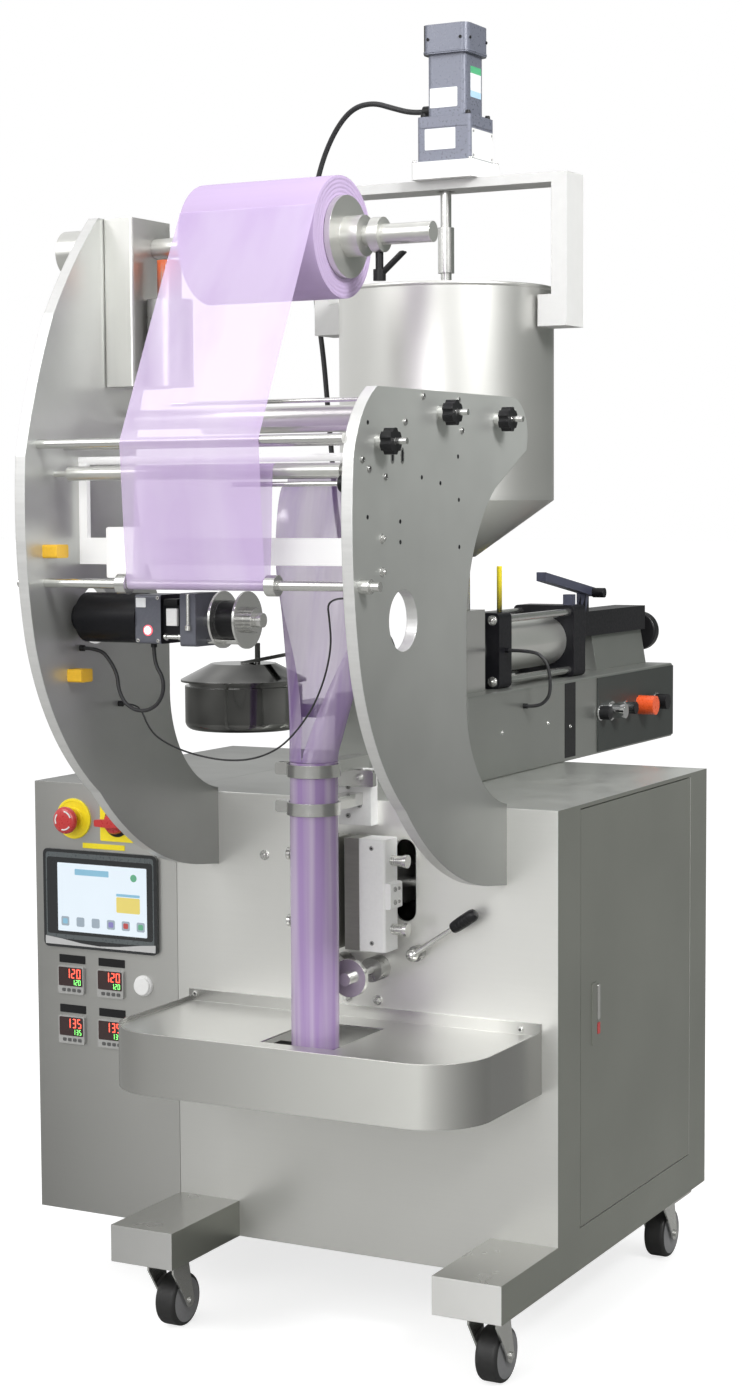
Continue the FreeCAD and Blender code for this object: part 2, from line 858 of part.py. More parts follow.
def cabinet():
    """Control section, main section with a doorway, front plate with its two slots."""
    control = box("ControlBox", "0", "0", "0", "control_width", "cabinet_depth", "cabinet_height")
    stop_seat = rod("StopSeat", "stop_stem_radius + stem_fit", "stop_seat_depth", "stop_across",
                    "0", "stop_up", "y")
    switch_seat = rod("SwitchSeat", "switch_stem_radius + stem_fit", "stop_seat_depth",
                      "selector_across", "0", "selector_up", "y")
    node("control_cabinet", cut("ControlCabinet", control, [stop_seat, switch_seat]))
    shell = box("MainShell", "control_width + seam_gap", "front_plate_wall", "0",
                "cabinet_width - control_width - seam_gap",
                "cabinet_depth - front_plate_wall", "cabinet_height")
    inside = box("MainInside", "control_width + seam_gap + sheet_wall",
                 "front_plate_wall - overcut", "sheet_wall",
                 "cabinet_width - control_width - seam_gap - 2 * sheet_wall",
                 "cabinet_depth - front_plate_wall - sheet_wall + overcut",
                 "cabinet_height - 2 * sheet_wall")
    doorway = box("Doorway", "cabinet_width - 2 * sheet_wall", "door_front - door_gap",
                  "door_low - door_gap", "4 * sheet_wall",
                  "door_back - door_front + 2 * door_gap", "door_high - door_low + 2 * door_gap")
    hollow = cut("MainHollow", shell, [inside, doorway])
    jamb = box("JambBlock", "cabinet_width - sheet_wall - door_jamb_depth",
               "door_front - door_gap - sheet_wall", "door_low - door_gap - sheet_wall",
               "door_jamb_depth", "door_back - door_front + 2 * door_gap + 2 * sheet_wall",
               "door_high - door_low + 2 * door_gap + 2 * sheet_wall")
    jamb_inside = box("JambInside", "cabinet_width - 2 * sheet_wall - door_jamb_depth",
                      "door_front - door_gap", "door_low - door_gap",
                      "door_jamb_depth + 3 * sheet_wall",
                      "door_back - door_front + 2 * door_gap",
                      "door_high - door_low + 2 * door_gap")
    frame = cut("JambFrame", jamb, [jamb_inside])
    pin_bores = [rod("PinBore" + end, "door_pin_radius + axle_fit", "sheet_wall + 2 * door_gap",
                     "cabinet_width - door_pin_inset", "door_back - door_pin_inset", up)
                 for end, up in (("Low", "door_low - sheet_wall - 2 * door_gap"),
                                 ("High", "door_high"))]
    node("main_cabinet", cut("MainCabinet", fuse("MainBlank", [hollow, frame]), pin_bores))
    plate = box("FrontSheet", "control_width + seam_gap", "0", "0",
                "cabinet_width - control_width - seam_gap", "front_plate_wall", "cabinet_height")
    tools = []
    for side, centre in (("Right", "slot_left + slot_width / 2"),
                         ("Left", "2 * tube_across - slot_left - slot_width / 2")):
        tools.append(box("Slot" + side, centre + " - slot_width / 2", "0 - overcut",
                         "slot_low + slot_width / 2", "slot_width", "front_plate_wall + 2 * overcut",
                         "slot_high - slot_low - slot_width"))
        for end, up in (("Low", "slot_low + slot_width / 2"), ("High", "slot_high - slot_width / 2")):
            tools.append(rod("Slot" + side + end, "slot_width / 2",
                             "front_plate_wall + 2 * overcut", centre, "0 - overcut", up, "y"))
    node("front_plate", cut("FrontPlate", plate, tools))


def side_door():
    """The inset door in the right side, a folded pan on two pins at its rear edge."""
    skin = box("DoorSkin", "cabinet_width - door_pan_depth", "door_front", "door_low",
               "door_pan_depth", "door_back - door_front", "door_high - door_low")
    hollow = box("DoorHollow", "cabinet_width - door_pan_depth - overcut", "door_front + sheet_wall",
                 "door_low + sheet_wall", "door_pan_depth - sheet_wall + overcut",
                 "door_back - door_front - 2 * sheet_wall - 2 * door_pin_inset",
                 "door_high - door_low - 2 * sheet_wall")
    pins = [rod("DoorPin" + end, "door_pin_radius", "2 * sheet_wall + door_gap",
                "cabinet_width - door_pin_inset", "door_back - door_pin_inset", up)
            for end, up in (("Low", "door_low - door_gap - sheet_wall"),
                            ("High", "door_high - sheet_wall"))]
    pan = cut("DoorPan", skin, [hollow])
    lock = box("LockPlate", "cabinet_width - sheet_wall", "door_front + lock_inset", "lock_low",
               "sheet_wall + lock_proud", "lock_width", "lock_height")
    node("side_door", fuse("SideDoor", [pan, lock] + pins))


def skids_and_casters():
    """Two box legs under the cabinet, each on two swivel casters."""
    legs = {"left": "left_leg_start", "right": "cabinet_width - leg_width"}
    plates = []
    beams = []
    for side, start in legs.items():
        beams.append(box("Leg" + side.title(), start, "0 - leg_reach", "0",
                         "leg_width", "leg_reach", "leg_height"))
        for end, along in (("front", "0 - leg_reach + caster_front_inset"),
                           ("rear", "cabinet_depth - caster_rear_inset")):
            across = start + " + leg_width / 2"
            tag = side.title() + end.title()
            flat = box("TopPlate" + tag, across + " - caster_plate_side / 2",
                       along + " - caster_plate_side / 2", "0 - caster_plate_wall",
                       "caster_plate_side", "caster_plate_side", "caster_plate_wall")
            pin_bore = rod("KingBore" + tag, "king_pin_radius", "2 * caster_plate_wall",
                           across, along, "0 - 1.5 * caster_plate_wall")
            plates.append(cut("PlateBored" + tag, flat, [pin_bore]))
            caster("_%s_%s" % (side, end), tag, across, along, end == "rear")
    node("skid_legs", fuse("SkidLegs", beams))
    node("caster_plates", fuse("CasterPlates", plates))


def caster(suffix, tag, across, along, braked):
    """One swivel fork with its axle, and the wheel that turns on it."""
    crown_top = "0 - caster_plate_wall - running_gap"
    crown_low = "0 - caster_plate_wall - running_gap - caster_race_height"
    axle_up = "wheel_radius - caster_height"
    half = "(wheel_width / 2 + fork_gap)"
    axle_along = along + " + caster_trail"
    pieces = [
        rod("Race" + tag, "caster_race_radius", "caster_race_height", across, along, crown_low),
        rod("KingPin" + tag, "king_pin_radius - axle_fit", "caster_plate_wall + running_gap / 2 + overcut",
            across, along, crown_top + " - overcut"),
        box("Crown" + tag, across + " - " + half + " - fork_wall", along + " - fork_depth / 2",
            crown_low + " - fork_wall", "2 * %s + 2 * fork_wall" % half,
            "fork_depth", "fork_wall"),
        rod("Axle" + tag, "axle_radius - axle_fit", "2 * %s + 2 * fork_wall + 2 * axle_end" % half,
            across + " - " + half + " - fork_wall - axle_end", axle_along, axle_up, "x"),
    ]
    for number, start in ((1, across + " - " + half + " - fork_wall"), (2, across + " + " + half)):
        corners = [
            ("0 - fork_depth / 2", crown_low, None),
            ("0 - fork_depth / 2", crown_low + " - 3 * fork_wall", None),
            ("caster_trail - cheek_radius", axle_up, "0 + cheek_radius"),
            ("caster_trail", axle_up + " - cheek_radius", "0 + cheek_radius"),
            ("caster_trail + cheek_radius", axle_up, None),
            ("fork_depth / 2", crown_low, None),
        ]
        pieces.append(slab("Cheek%s%d" % (tag, number), "YZ_Plane",
                           corners, "fork_wall", start, along, "0"))
    if braked:
        pieces.append(box("Pedal" + tag, across + " - " + half + " - fork_wall",
                          along + " + caster_trail + wheel_radius + pedal_gap",
                          "0 - caster_plate_wall - 2 * caster_race_height - fork_wall",
                          "2 * %s + 2 * fork_wall" % half, "pedal_length", "fork_wall"))
        pieces.append(box("PedalArm" + tag, across + " + " + half, along,
                          "0 - caster_plate_wall - 2 * caster_race_height - fork_wall",
                          "fork_wall", "caster_trail + wheel_radius + pedal_gap", "2 * fork_wall"))
    node("caster_fork" + suffix, fuse("Fork" + tag, pieces))
    bore = "axle_radius"
    corners = [
        (bore, "0 - wheel_width / 2", None),
        ("wheel_radius - wheel_edge", "0 - wheel_width / 2", "wheel_edge"),
        ("wheel_radius", "wheel_edge - wheel_width / 2", None),
        ("wheel_radius", "wheel_width / 2 - wheel_edge", "wheel_edge"),
        ("wheel_radius - wheel_edge", "wheel_width / 2", None),
        (bore, "wheel_width / 2", None),
    ]
    node("caster_wheel" + suffix, spun("Wheel" + tag, corners, across, axle_along, axle_up, "x"))


def front_tray():
    """The round-cornered tray with its apron, rear flange and the square hole for the film."""
    width = "(tray_right - tray_left)"
    corners = [
        ("0", "0", None),
        ("0", "tray_corner - tray_reach", "0 + tray_corner"),
        ("tray_corner", "0 - tray_reach", None),
        (width + " - tray_corner", "0 - tray_reach", "0 + tray_corner"),
        (width, "tray_corner - tray_reach", None),
        (width, "0", None),
    ]
    inner = [
        ("tray_wall", "overcut", None),
        ("tray_wall", "tray_corner - tray_reach", "tray_corner - tray_wall"),
        ("tray_corner", "tray_wall - tray_reach", None),
        (width + " - tray_corner", "tray_wall - tray_reach", "tray_corner - tray_wall"),
        (width + " - tray_wall", "tray_corner - tray_reach", None),
        (width + " - tray_wall", "overcut", None),
    ]
    skirt = slab("TraySkirt", "XY_Plane", corners, "tray_high - tray_low", "tray_left", "0", "tray_low")
    under = slab("TrayUnder", "XY_Plane", inner, "tray_depth - tray_rim_drop - tray_wall + overcut",
                 "tray_left", "0", "tray_low - overcut")
    over = slab("TrayOver", "XY_Plane", inner, "tray_rim_drop + overcut",
                "tray_left", "0", "tray_high - tray_rim_drop")
    hole = box("TrayHole", "tray_hole_left", "0 - tray_hole_front", "tray_low",
               "tray_hole_right - tray_hole_left", "tray_hole_front - tray_hole_back",
               "tray_high - tray_low")
    dish = cut("TrayDish", skirt, [under, over, hole])
    flange = box("TrayFlange", "tray_left", "0 - tray_wall", "tray_high - tray_rim_drop - tray_wall",
                 width, "tray_wall", "tray_rim_drop + tray_wall + tray_flange")
    node("front_tray", fuse("FrontTray", [dish, flange]))


def controls():
    """Touch screen, emergency stop, selector, temperature controllers and push button."""
    node("touch_screen", rounded("TouchScreen", "XZ_Plane", "0", "0", "screen_width",
                                 "screen_height", "screen_corner", "screen_wall",
                                 "screen_left", "0", "screen_low"))
    stop_disc = rod("StopDisc", "stop_disc_radius", "button_disc_wall",
                    "stop_across", "0 - button_disc_wall", "stop_up", "y")
    stop_bore = rod("StopBore", "stop_stem_radius + stem_fit", "button_disc_wall + 2 * overcut",
                    "stop_across", "0 - button_disc_wall - overcut", "stop_up", "y")
    fixed = [cut("StopCollar", stop_disc, [stop_bore])]
    stem_start = "0 - button_disc_wall - stop_stand_off"
    head = spun("StopHead", [
        ("0", "0 - stop_head_wall", "stop_dome"),
        ("stop_head_radius", "0 - stop_head_wall / 2", None),
        ("stop_neck_radius", "0", None),
        ("0", "0", None),
    ], "stop_across", stem_start, "stop_up", "y")
    node("emergency_stop", fuse("EmergencyStop", [
        rod("StopStem", "stop_stem_radius",
            "stop_stand_off + button_disc_wall + stop_seat_depth - 2 * stop_travel",
            "stop_across", stem_start, "stop_up", "y"),
        head,
    ]))
    selector_blank = box("SelectorPlate", "selector_across - selector_plate / 2",
                         "0 - button_disc_wall", "selector_up - selector_plate / 2",
                         "selector_plate", "button_disc_wall", "selector_plate")
    selector_bore = rod("SelectorBore", "switch_stem_radius + stem_fit",
                        "button_disc_wall + 2 * overcut", "selector_across",
                        "0 - button_disc_wall - overcut", "selector_up", "y")
    fixed.append(cut("SelectorBored", selector_blank, [selector_bore]))
    dial_start = "0 - button_disc_wall - running_gap - selector_wall"
    node("selector_switch", fuse("SelectorSwitch", [
        rod("SelectorDial", "selector_radius", "selector_wall", "selector_across",
            dial_start, "selector_up", "y"),
        rod("SelectorStem", "switch_stem_radius", "selector_wall + switch_stem_reach",
            "selector_across", dial_start, "selector_up", "y"),
        rounded("SelectorGrip", "XZ_Plane", "0 - selector_radius - grip_overhang",
                "0 - grip_width / 2", "2 * selector_radius + 2 * grip_overhang", "grip_width",
                "grip_width / 4", "grip_height", "selector_across", dial_start, "selector_up"),
    ]))
    for row in range(2):
        for column in range(2):
            fixed.append(rounded("Meter%d%d" % (row, column), "XZ_Plane", "0", "0",
                                 "controller_width", "controller_height", "controller_corner",
                                 "controller_wall",
                                 "controller_left + %d * controller_pitch" % column, "0",
                                 "controller_low + %d * controller_rise" % row))
    fixed.append(rod("PushButton", "push_radius", "push_wall", "push_across",
                     "0 - push_wall", "push_up", "y"))
    node("panel_instruments", fuse("PanelInstruments", fixed))


def side_plates():
    """Two swept plates bolted to the cabinet front, the left one running up to the roll shaft."""
    foot = [
        ("0", "cabinet_height - plate_foot_drop", None),
        ("0 - plate_toe_out", "cabinet_height - plate_toe_drop", "0 - toe_arc"),
    ]
    waist = [
        ("0 - waist_out", "cabinet_height + waist_high_rise", None),
        ("0 - waist_out", "cabinet_height + waist_low_rise", "waist_arc"),
        ("0", "cabinet_height + plate_heel_rise", None),
    ]
    right = foot + [
        ("0 - belly_out", "cabinet_height + belly_rise", "0 - right_belly_arc"),
        ("0 - right_bulge_out", "cabinet_height + right_bulge_rise", "0 - bulge_arc"),
        ("0 - right_brow_out", "cabinet_height + right_brow_rise", "0 - right_brow_arc"),
        ("0 - right_top_out", "cabinet_height + right_top_rise", None),
        ("right_horn_in", "cabinet_height + right_top_rise", "0 - horn_arc"),
        ("right_tail_in", "cabinet_height + right_tail_rise", None),
        ("0 - right_neck_out", "cabinet_height + right_neck_rise", "right_neck_arc"),
    ] + waist
    left = foot + [
        ("0 - belly_out", "cabinet_height + belly_rise", "0 - left_belly_arc"),
        ("0 - left_bulge_out", "cabinet_height + left_bulge_rise", "0 - bulge_arc"),
        ("0 - left_brow_out", "cabinet_height + left_brow_rise", "0 - left_brow_arc"),
        ("0 - left_shoulder_out", "cabinet_height + left_shoulder_rise", "0 - shoulder_arc"),
        ("0 - left_top_out", "housing_high", None),
        ("0 - left_back_out", "housing_high", None),
        ("0 - left_back_out", "cabinet_height + left_neck_rise", "left_neck_arc"),
    ] + waist
    for side, corners, start in (("left", left, "plate_left_inner - plate_wall"),
                                 ("right", right, "plate_right_inner")):
        name = "Plate" + side.title()
        body = doc.addObject("PartDesign::Body", name)
        pad(body, name + "Pad", outline(body, name + "Outline", "YZ_Plane", corners), "plate_wall")
        hole = circle(body, name + "Hole", "YZ_Plane", "0 - plate_hole_out",
                      "plate_hole_up", "plate_hole_radius")
        pocket(body, name + "HoleCut", hole, True)
        place(body, start, "0", "0")
        if side == "left":
            bore = rod("PlateShaftBore", "shaft_radius + axle_fit", "plate_wall + 2 * overcut",
                       "plate_left_inner - plate_wall - overcut", "0 - roll_out", "roll_up", "x")
            body = cut("PlateLeftBored", body, [bore])
        node("side_plate_" + side, body)


def cross_bars():
    """Round bars and rollers that run from plate to plate."""
    span = "(plate_right_inner - plate_left_inner)"

    def bar(name, key, start="plate_left_inner", length=span):
        return rod(name, key + "_radius", length, start, "0 - %s_out" % key, key + "_up", "x")

    overhang = "lower_bar_overhang"
    bars = [bar("FrontBar", "front_bar"), bar("GuideBar", "guide_bar"), bar("ThinBar", "thin_bar")]
    lower = [bar("LowerBar", "lower_bar")]
    for side, start in (("Left", "plate_left_inner - plate_wall - lower_nut_length"),
                        ("Right", "plate_right_inner + plate_wall")):
        lower.append(rod("LowerNut" + side, "lower_nut_radius", "lower_nut_length", start,
                         "0 - lower_bar_out", "lower_bar_up", "x"))
    for side, start in (("Left", "plate_left_inner - plate_wall - " + overhang),
                        ("Right", "plate_right_inner + plate_wall + lower_nut_length")):
        lower.append(rod("LowerEnd" + side, "lower_bar_radius",
                         overhang + " - lower_nut_length", start,
                         "0 - lower_bar_out", "lower_bar_up", "x"))
    for side, start in (("Left", "film_left - running_gap - collar_length"),
                        ("Right", "film_left + film_width + running_gap")):
        lower.append(rod("Collar" + side, "collar_radius", "collar_length", start,
                         "0 - lower_bar_out", "lower_bar_up", "x"))
    node("cross_bars", fuse("CrossBars", bars + lower))
    rollers = []
    for key, gap in (("middle_roller", "roller_end_gap"), ("rear_roller", "roller_end_gap"),
                     ("nip_roller", "nip_end_gap"), ("turn_roller", "roller_end_gap")):
        name = key.title().replace("_", "")
        rollers.append(rod(name, key + "_radius", "%s - 2 * %s" % (span, gap),
                           "plate_left_inner + " + gap, "0 - %s_out" % key, key + "_up", "x"))
        rollers.append(rod(name + "Pin", "bar_end_radius", span, "plate_left_inner",
                           "0 - %s_out" % key, key + "_up", "x"))
    node("film_rollers", fuse("FilmRollers", rollers))


def plate_knobs():
    """Star knobs that clamp three of the bars from outside, and a short guide pin with its cap."""
    pieces = []
    for key in ("guide_bar", "middle_roller", "rear_roller"):
        tag = key.title().replace("_", "")
        spot = ("0 - %s_out" % key, key + "_up", "x")
        face = "plate_right_inner + plate_wall"
        disc = rod("StarDisc" + tag, "star_radius", "star_wall", face + " + star_hub_length", *spot)
        scallops = []
        for lobe in range(int(value("star_lobes"))):
            turn = "(360 * %d / star_lobes)" % lobe
            scallops.append(rod(
                "Scallop%s%d" % (tag, lobe), "star_scallop", "star_wall + 2 * overcut",
                face + " + star_hub_length - overcut",
                "0 - %s_out + (star_radius + star_scallop / 2) * cos(%s)" % (key, turn),
                "%s_up + (star_radius + star_scallop / 2) * sin(%s)" % (key, turn), "x"))
        pieces += [
            cut("Star" + tag, disc, scallops),
            rod("StarHub" + tag, "star_hub_radius", "star_hub_length + overcut", face, *spot),
            rod("Stud" + tag, "stud_radius", "stud_length + overcut",
                face + " + star_hub_length + star_wall - overcut", *spot),
        ]
    cap = "plate_right_inner - guide_cap_length"
    spot = ("0 - guide_pin_out", "guide_pin_up", "x")
    pieces += [
        rod("GuideCap", "guide_cap_radius", "guide_cap_length", cap, *spot),
        rod("GuidePin", "guide_pin_radius", "guide_pin_length + overcut",
            cap + " - guide_pin_length", *spot),
    ]
    node("plate_knobs", fuse("PlateKnobs", pieces))


def sensor_bar():
    """The frame behind the film that carries the film sensor, and two sensors on the left plate."""
    back = "0 - sensor_bar_out"
    bar = box("SensorFlat", "plate_left_inner", back, "sensor_bar_low",
              "plate_right_inner - plate_left_inner", "sensor_bar_wall", "sensor_bar_height")
    post = box("SensorPost", "plate_left_inner", back, "sensor_bar_low", "sensor_post_wall",
               "sensor_bar_wall", "sensor_top_up - sensor_bar_low + sensor_top_radius")
    top = rod("SensorTopBar", "sensor_top_radius", "plate_right_inner - plate_left_inner",
              "plate_left_inner", back + " + sensor_bar_wall / 2", "sensor_top_up", "x")
    head = rounded("SensorHead", "XZ_Plane", "0", "0", "sensor_head_width", "sensor_head_height",
                   "edge_sensor_corner", "sensor_head_wall", "sensor_head_left", back,
                   "sensor_bar_low - sensor_head_drop")
    node("sensor_bar", fuse("SensorBar", [bar, post, top, head]))
    node("edge_sensors", fuse("EdgeSensors", [
        rounded(key.title() + "EdgeSensor", "YZ_Plane", "0 - edge_sensor_width / 2",
                "0 - edge_sensor_height / 2", "edge_sensor_width", "edge_sensor_height",
                "edge_sensor_corner", "edge_sensor_length", "plate_left_inner",
                "0 - %s_sensor_out" % key, "cabinet_height + %s_sensor_rise" % key)
        for key in ("upper", "lower")]))


def roll_set():
    """Film roll on its shaft, the brake hub outside the left plate and the unwind drive."""
    axis = ("0 - roll_out", "roll_up", "x")
    hub_start = "plate_left_inner - plate_wall - hub_length"
    turning = [rod("RollShaft", "shaft_radius", "shaft_end - (%s)" % hub_start, hub_start, *axis)]
    hub = rod("BrakeHubBody", "hub_radius", "hub_length - hub_recess", hub_start + " + hub_recess",
              *axis)
    hub_bore = rod("BrakeHubBore", "shaft_radius + axle_fit", "hub_length + 2 * overcut",
                   hub_start + " - overcut", *axis)
    node("brake_hub", cut("BrakeHub", hub, [hub_bore]))
    flange = [
        ("0", "0", None),
        ("flange_radius", "0", None),
        ("flange_radius", "flange_wall", None),
        ("flange_hub_radius", "flange_wall", None),
        ("flange_hub_radius", "flange_wall + flange_hub_length", None),
        ("0", "flange_wall + flange_hub_length", None),
    ]
    right_face = "film_left + film_width + running_gap"
    left = [(u, "0 - (%s)" % v, radius) for u, v, radius in flange]
    turning.append(spun("FlangeRight", flange, right_face, *axis))
    turning.append(spun("FlangeLeft", left, "film_left - running_gap", *axis))
    collar_start = right_face + " + flange_wall + flange_hub_length + clamp_start"
    turning.append(rod("ClampCollar", "clamp_radius", "clamp_wall", collar_start, *axis))
    node("roll_shaft", fuse("RollShaftSet", turning))
    roll = rod("RollBody", "roll_radius", "film_width", "film_left", *axis)
    core = rod("RollCore", "shaft_radius", "film_width + 2 * overcut", "film_left - overcut", *axis)
    node("film_roll", cut("FilmRoll", roll, [core]))
    roll_clamp(collar_start + " + clamp_wall / 2")
    housing = rounded("HousingBody", "XY_Plane", "0", "0 - housing_front", "housing_width",
                      "housing_front - housing_back", "housing_corner", "housing_height",
                      "plate_left_inner", "0", "housing_low")
    housing_bore = rod("HousingBore", "shaft_radius + running_gap", "housing_width + 2 * overcut",
                       "plate_left_inner - overcut", *axis)
    node("unwind_housing", cut("HousingBored", housing, [housing_bore]))
    can = [
        ("0", "0", None),
        ("can_radius", "0", None),
        ("can_radius", "can_high", None),
        ("tension_radius", "can_high", None),
        ("tension_radius", "can_high + tension_height", None),
        ("0", "can_high + tension_height", None),
    ]
    node("unwind_motor", turned("UnwindMotor", can,
                                "plate_left_inner + housing_width + can_radius",
                                "0 - housing_front + can_inset", "housing_low"))


def roll_clamp(across):
    """The clamping screw of the collar on the shaft, with its knob and cross handle."""
    screw_high = "roll_up - clamp_radius"
    knob_high = screw_high + " - clamp_stem_length"
    screw = rod("ClampScrew", "clamp_stem_radius", "clamp_stem_length + overcut", across,
                "0 - roll_out", knob_high)
    knob = rod("ClampKnob", "clamp_knob_radius", "clamp_knob_wall", across, "0 - roll_out",
               knob_high + " - clamp_knob_wall + overcut")
    handle = doc.addObject("Part::Cylinder", "ClampHandle")
    tilt = FreeCAD.Rotation(FreeCAD.Vector(0, 1, 0), value("clamp_bar_tilt"))
    handle.Placement = FreeCAD.Placement(FreeCAD.Vector(), tilt)
    handle.setExpression("Radius", bound("clamp_bar_radius"))
    handle.setExpression("Height", bound("clamp_bar_length"))
    place(handle, across, "0 - roll_out", knob_high + " - clamp_knob_wall / 2")
    collar = rod("ClampCollarRoom", "clamp_radius", "clamp_wall + clamp_bar_length",
                 across + " - clamp_wall / 2", "0 - roll_out", "roll_up", "x")
    node("roll_clamp", cut("RollClamp", fuse("RollClampBlank", [screw, knob, handle]), [collar]))


def film_path():
    """Spots along the film, tangent from roller to roller, as (y, z) in the row frame."""
    wound = [
        ("roll_out", "roll_up", "0 - roll_radius - film_gap"),
        ("front_bar_out", "front_bar_up", "0 - front_bar_radius - film_gap"),
        ("lower_bar_out", "lower_bar_up", "0 - lower_bar_radius - film_gap"),
        ("nip_roller_out", "nip_roller_up", "nip_roller_radius + film_gap + film_wall"),
        ("turn_roller_out", "turn_roller_up", "turn_roller_radius + film_gap + film_wall"),
        ("tube_out - tube_radius", "tube_top", "0"),
    ]
    circles = []
    for out, up, radius in wound:
        centre = point("0", "0 - (%s)" % out, up)
        circles.append((centre.y, centre.z, value(radius)))
    ways = []
    for (near_y, near_z, near), (far_y, far_z, far) in zip(circles, circles[1:]):
        reach = math.hypot(far_y - near_y, far_z - near_z)
        ways.append(math.atan2(far_z - near_z, far_y - near_y) - math.asin((near - far) / reach))
    step = math.radians(value("film_step"))
    spots = []
    for index, (centre_y, centre_z, radius) in enumerate(circles[:-1]):
        start = ways[max(index - 1, 0)]
        sweep = math.remainder(ways[index] - start, math.tau)
        if radius > 0 and sweep > 0:
            sweep -= math.tau
        if radius < 0 and sweep < 0:
            sweep += math.tau
        count = max(math.ceil(abs(sweep) / step), 1) if index else 0
        for number in range(count + 1):
            way = start + sweep * number / max(count, 1)
            spots.append((centre_y - radius * math.sin(way), centre_z + radius * math.cos(way)))
    run = value("turn_roller_radius + fall_start")
    last_y, last_z = spots[-1]
    spots.append((last_y + run * math.cos(ways[-1]), last_z + run * math.sin(ways[-1])))
    return spots


def film():
    """The web from the roll to the turning roller, its fall into the forming tube and the tube."""
    left = point("film_left", "0", "0").x
    path = [FreeCAD.Vector(left, y, z) for y, z in film_path()]
    print("film web flat length", round(sum((b - a).Length for a, b in zip(path, path[1:]))))
    across = FreeCAD.Vector(1, 0, 0)
    sides = [(b - a).cross(across).normalize() for a, b in zip(path, path[1:])]
    outer = []
    for index, spot in enumerate(path):
        near = sides[max(index - 1, 0)]
        middle = (near + sides[min(index, len(sides) - 1)]).normalize()
        outer.append(spot + middle * (value("film_wall") / middle.dot(near)))
    web = doc.addObject("Part::Feature", "FilmWebStrip")
    section = Part.Face(Part.makePolygon(path + outer[::-1] + [path[0]]))
    web.Shape = section.extrude(across * value("film_width"))
    deep = FreeCAD.Vector(0, value("fall_depth"), 0)
    corner = path[-1] - deep + FreeCAD.Vector(0, 0, value("overcut"))
    width = across * value("film_width")
    high = Part.makePolygon([corner, corner + width, corner + width + deep, corner + deep, corner])
    centre = point("tube_across", "0 - tube_out", "tube_top")
    low = Part.Wire(Part.makeCircle(value("tube_radius"), centre, FreeCAD.Vector(0, 0, 1)))
    fall = doc.addObject("Part::Feature", "FilmFall")
    fall.Shape = Part.makeLoft([Part.Wire(high), low], True, True)
    node("film_web", fuse("FilmWeb", [web, fall]))
    tube = rod("TubeBody", "tube_radius", "tube_top - tube_bottom - film_gap", "tube_across",
               "0 - tube_out", "tube_bottom")
    tube_inside = rod("TubeInside", "tube_radius - film_wall",
                      "tube_top - tube_bottom + 2 * overcut", "tube_across", "0 - tube_out",
                      "tube_bottom - overcut")
    node("film_tube", cut("FilmTube", tube, [tube_inside]))


def forming_tube():
    """Clamp rings with their ears and arms, and the block on the front plate."""
    pieces = []
    arm = "(tube_out - tube_radius - film_gap - ring_wall / 2)"
    for number, low in ((1, "ring_low"), (2, "ring_lower_low")):
        ring = rod("Ring%d" % number, "tube_radius + film_gap + ring_wall", "ring_height",
                   "tube_across", "0 - tube_out", low)
        ear = rounded("RingEar%d" % number, "XZ_Plane",
                      "0 - tube_radius - ring_ear_reach", "0", "ring_ear_reach + ring_wall",
                      "ring_height", "ring_height / 4", "ring_ear_wall", "tube_across",
                      "ring_ear_wall / 2 - tube_out", low)
        bore = rod("RingBore%d" % number, "tube_radius + film_gap", "ring_height + 2 * overcut",
                   "tube_across", "0 - tube_out", low + " - overcut")
        pieces.append(cut("RingCut%d" % number, fuse("RingBlank%d" % number, [ring, ear]), [bore]))
        pieces.append(box("RingArm%d" % number, "tube_across - ring_arm_width / 2", "0 - " + arm,
                          low, "ring_arm_width", arm + " - ring_block_depth / 2", "ring_height"))
    pieces.append(rounded("RingPlate", "XZ_Plane", "0 - ring_plate_width / 2", "0",
                          "ring_plate_width", "ring_plate_height", "ring_plate_height / 8",
                          "ring_plate_wall", "tube_across", "0 - ring_block_depth",
                          "ring_plate_low"))
    pieces.append(box("RingBlock", "tube_across - ring_block_width / 2", "0 - ring_block_depth",
                      "ring_block_low", "ring_block_width", "ring_block_depth",
                      "ring_plate_low + ring_plate_height - ring_block_low"))
    pieces.append(box("RingPost", "tube_across - ring_arm_width / 2", "0 - ring_block_depth",
                      "ring_plate_low + ring_plate_height - overcut", "ring_arm_width",
                      "ring_block_depth",
                      "ring_low + ring_height - ring_plate_low - ring_plate_height + overcut"))
    node("tube_rings", fuse("TubeRings", pieces))


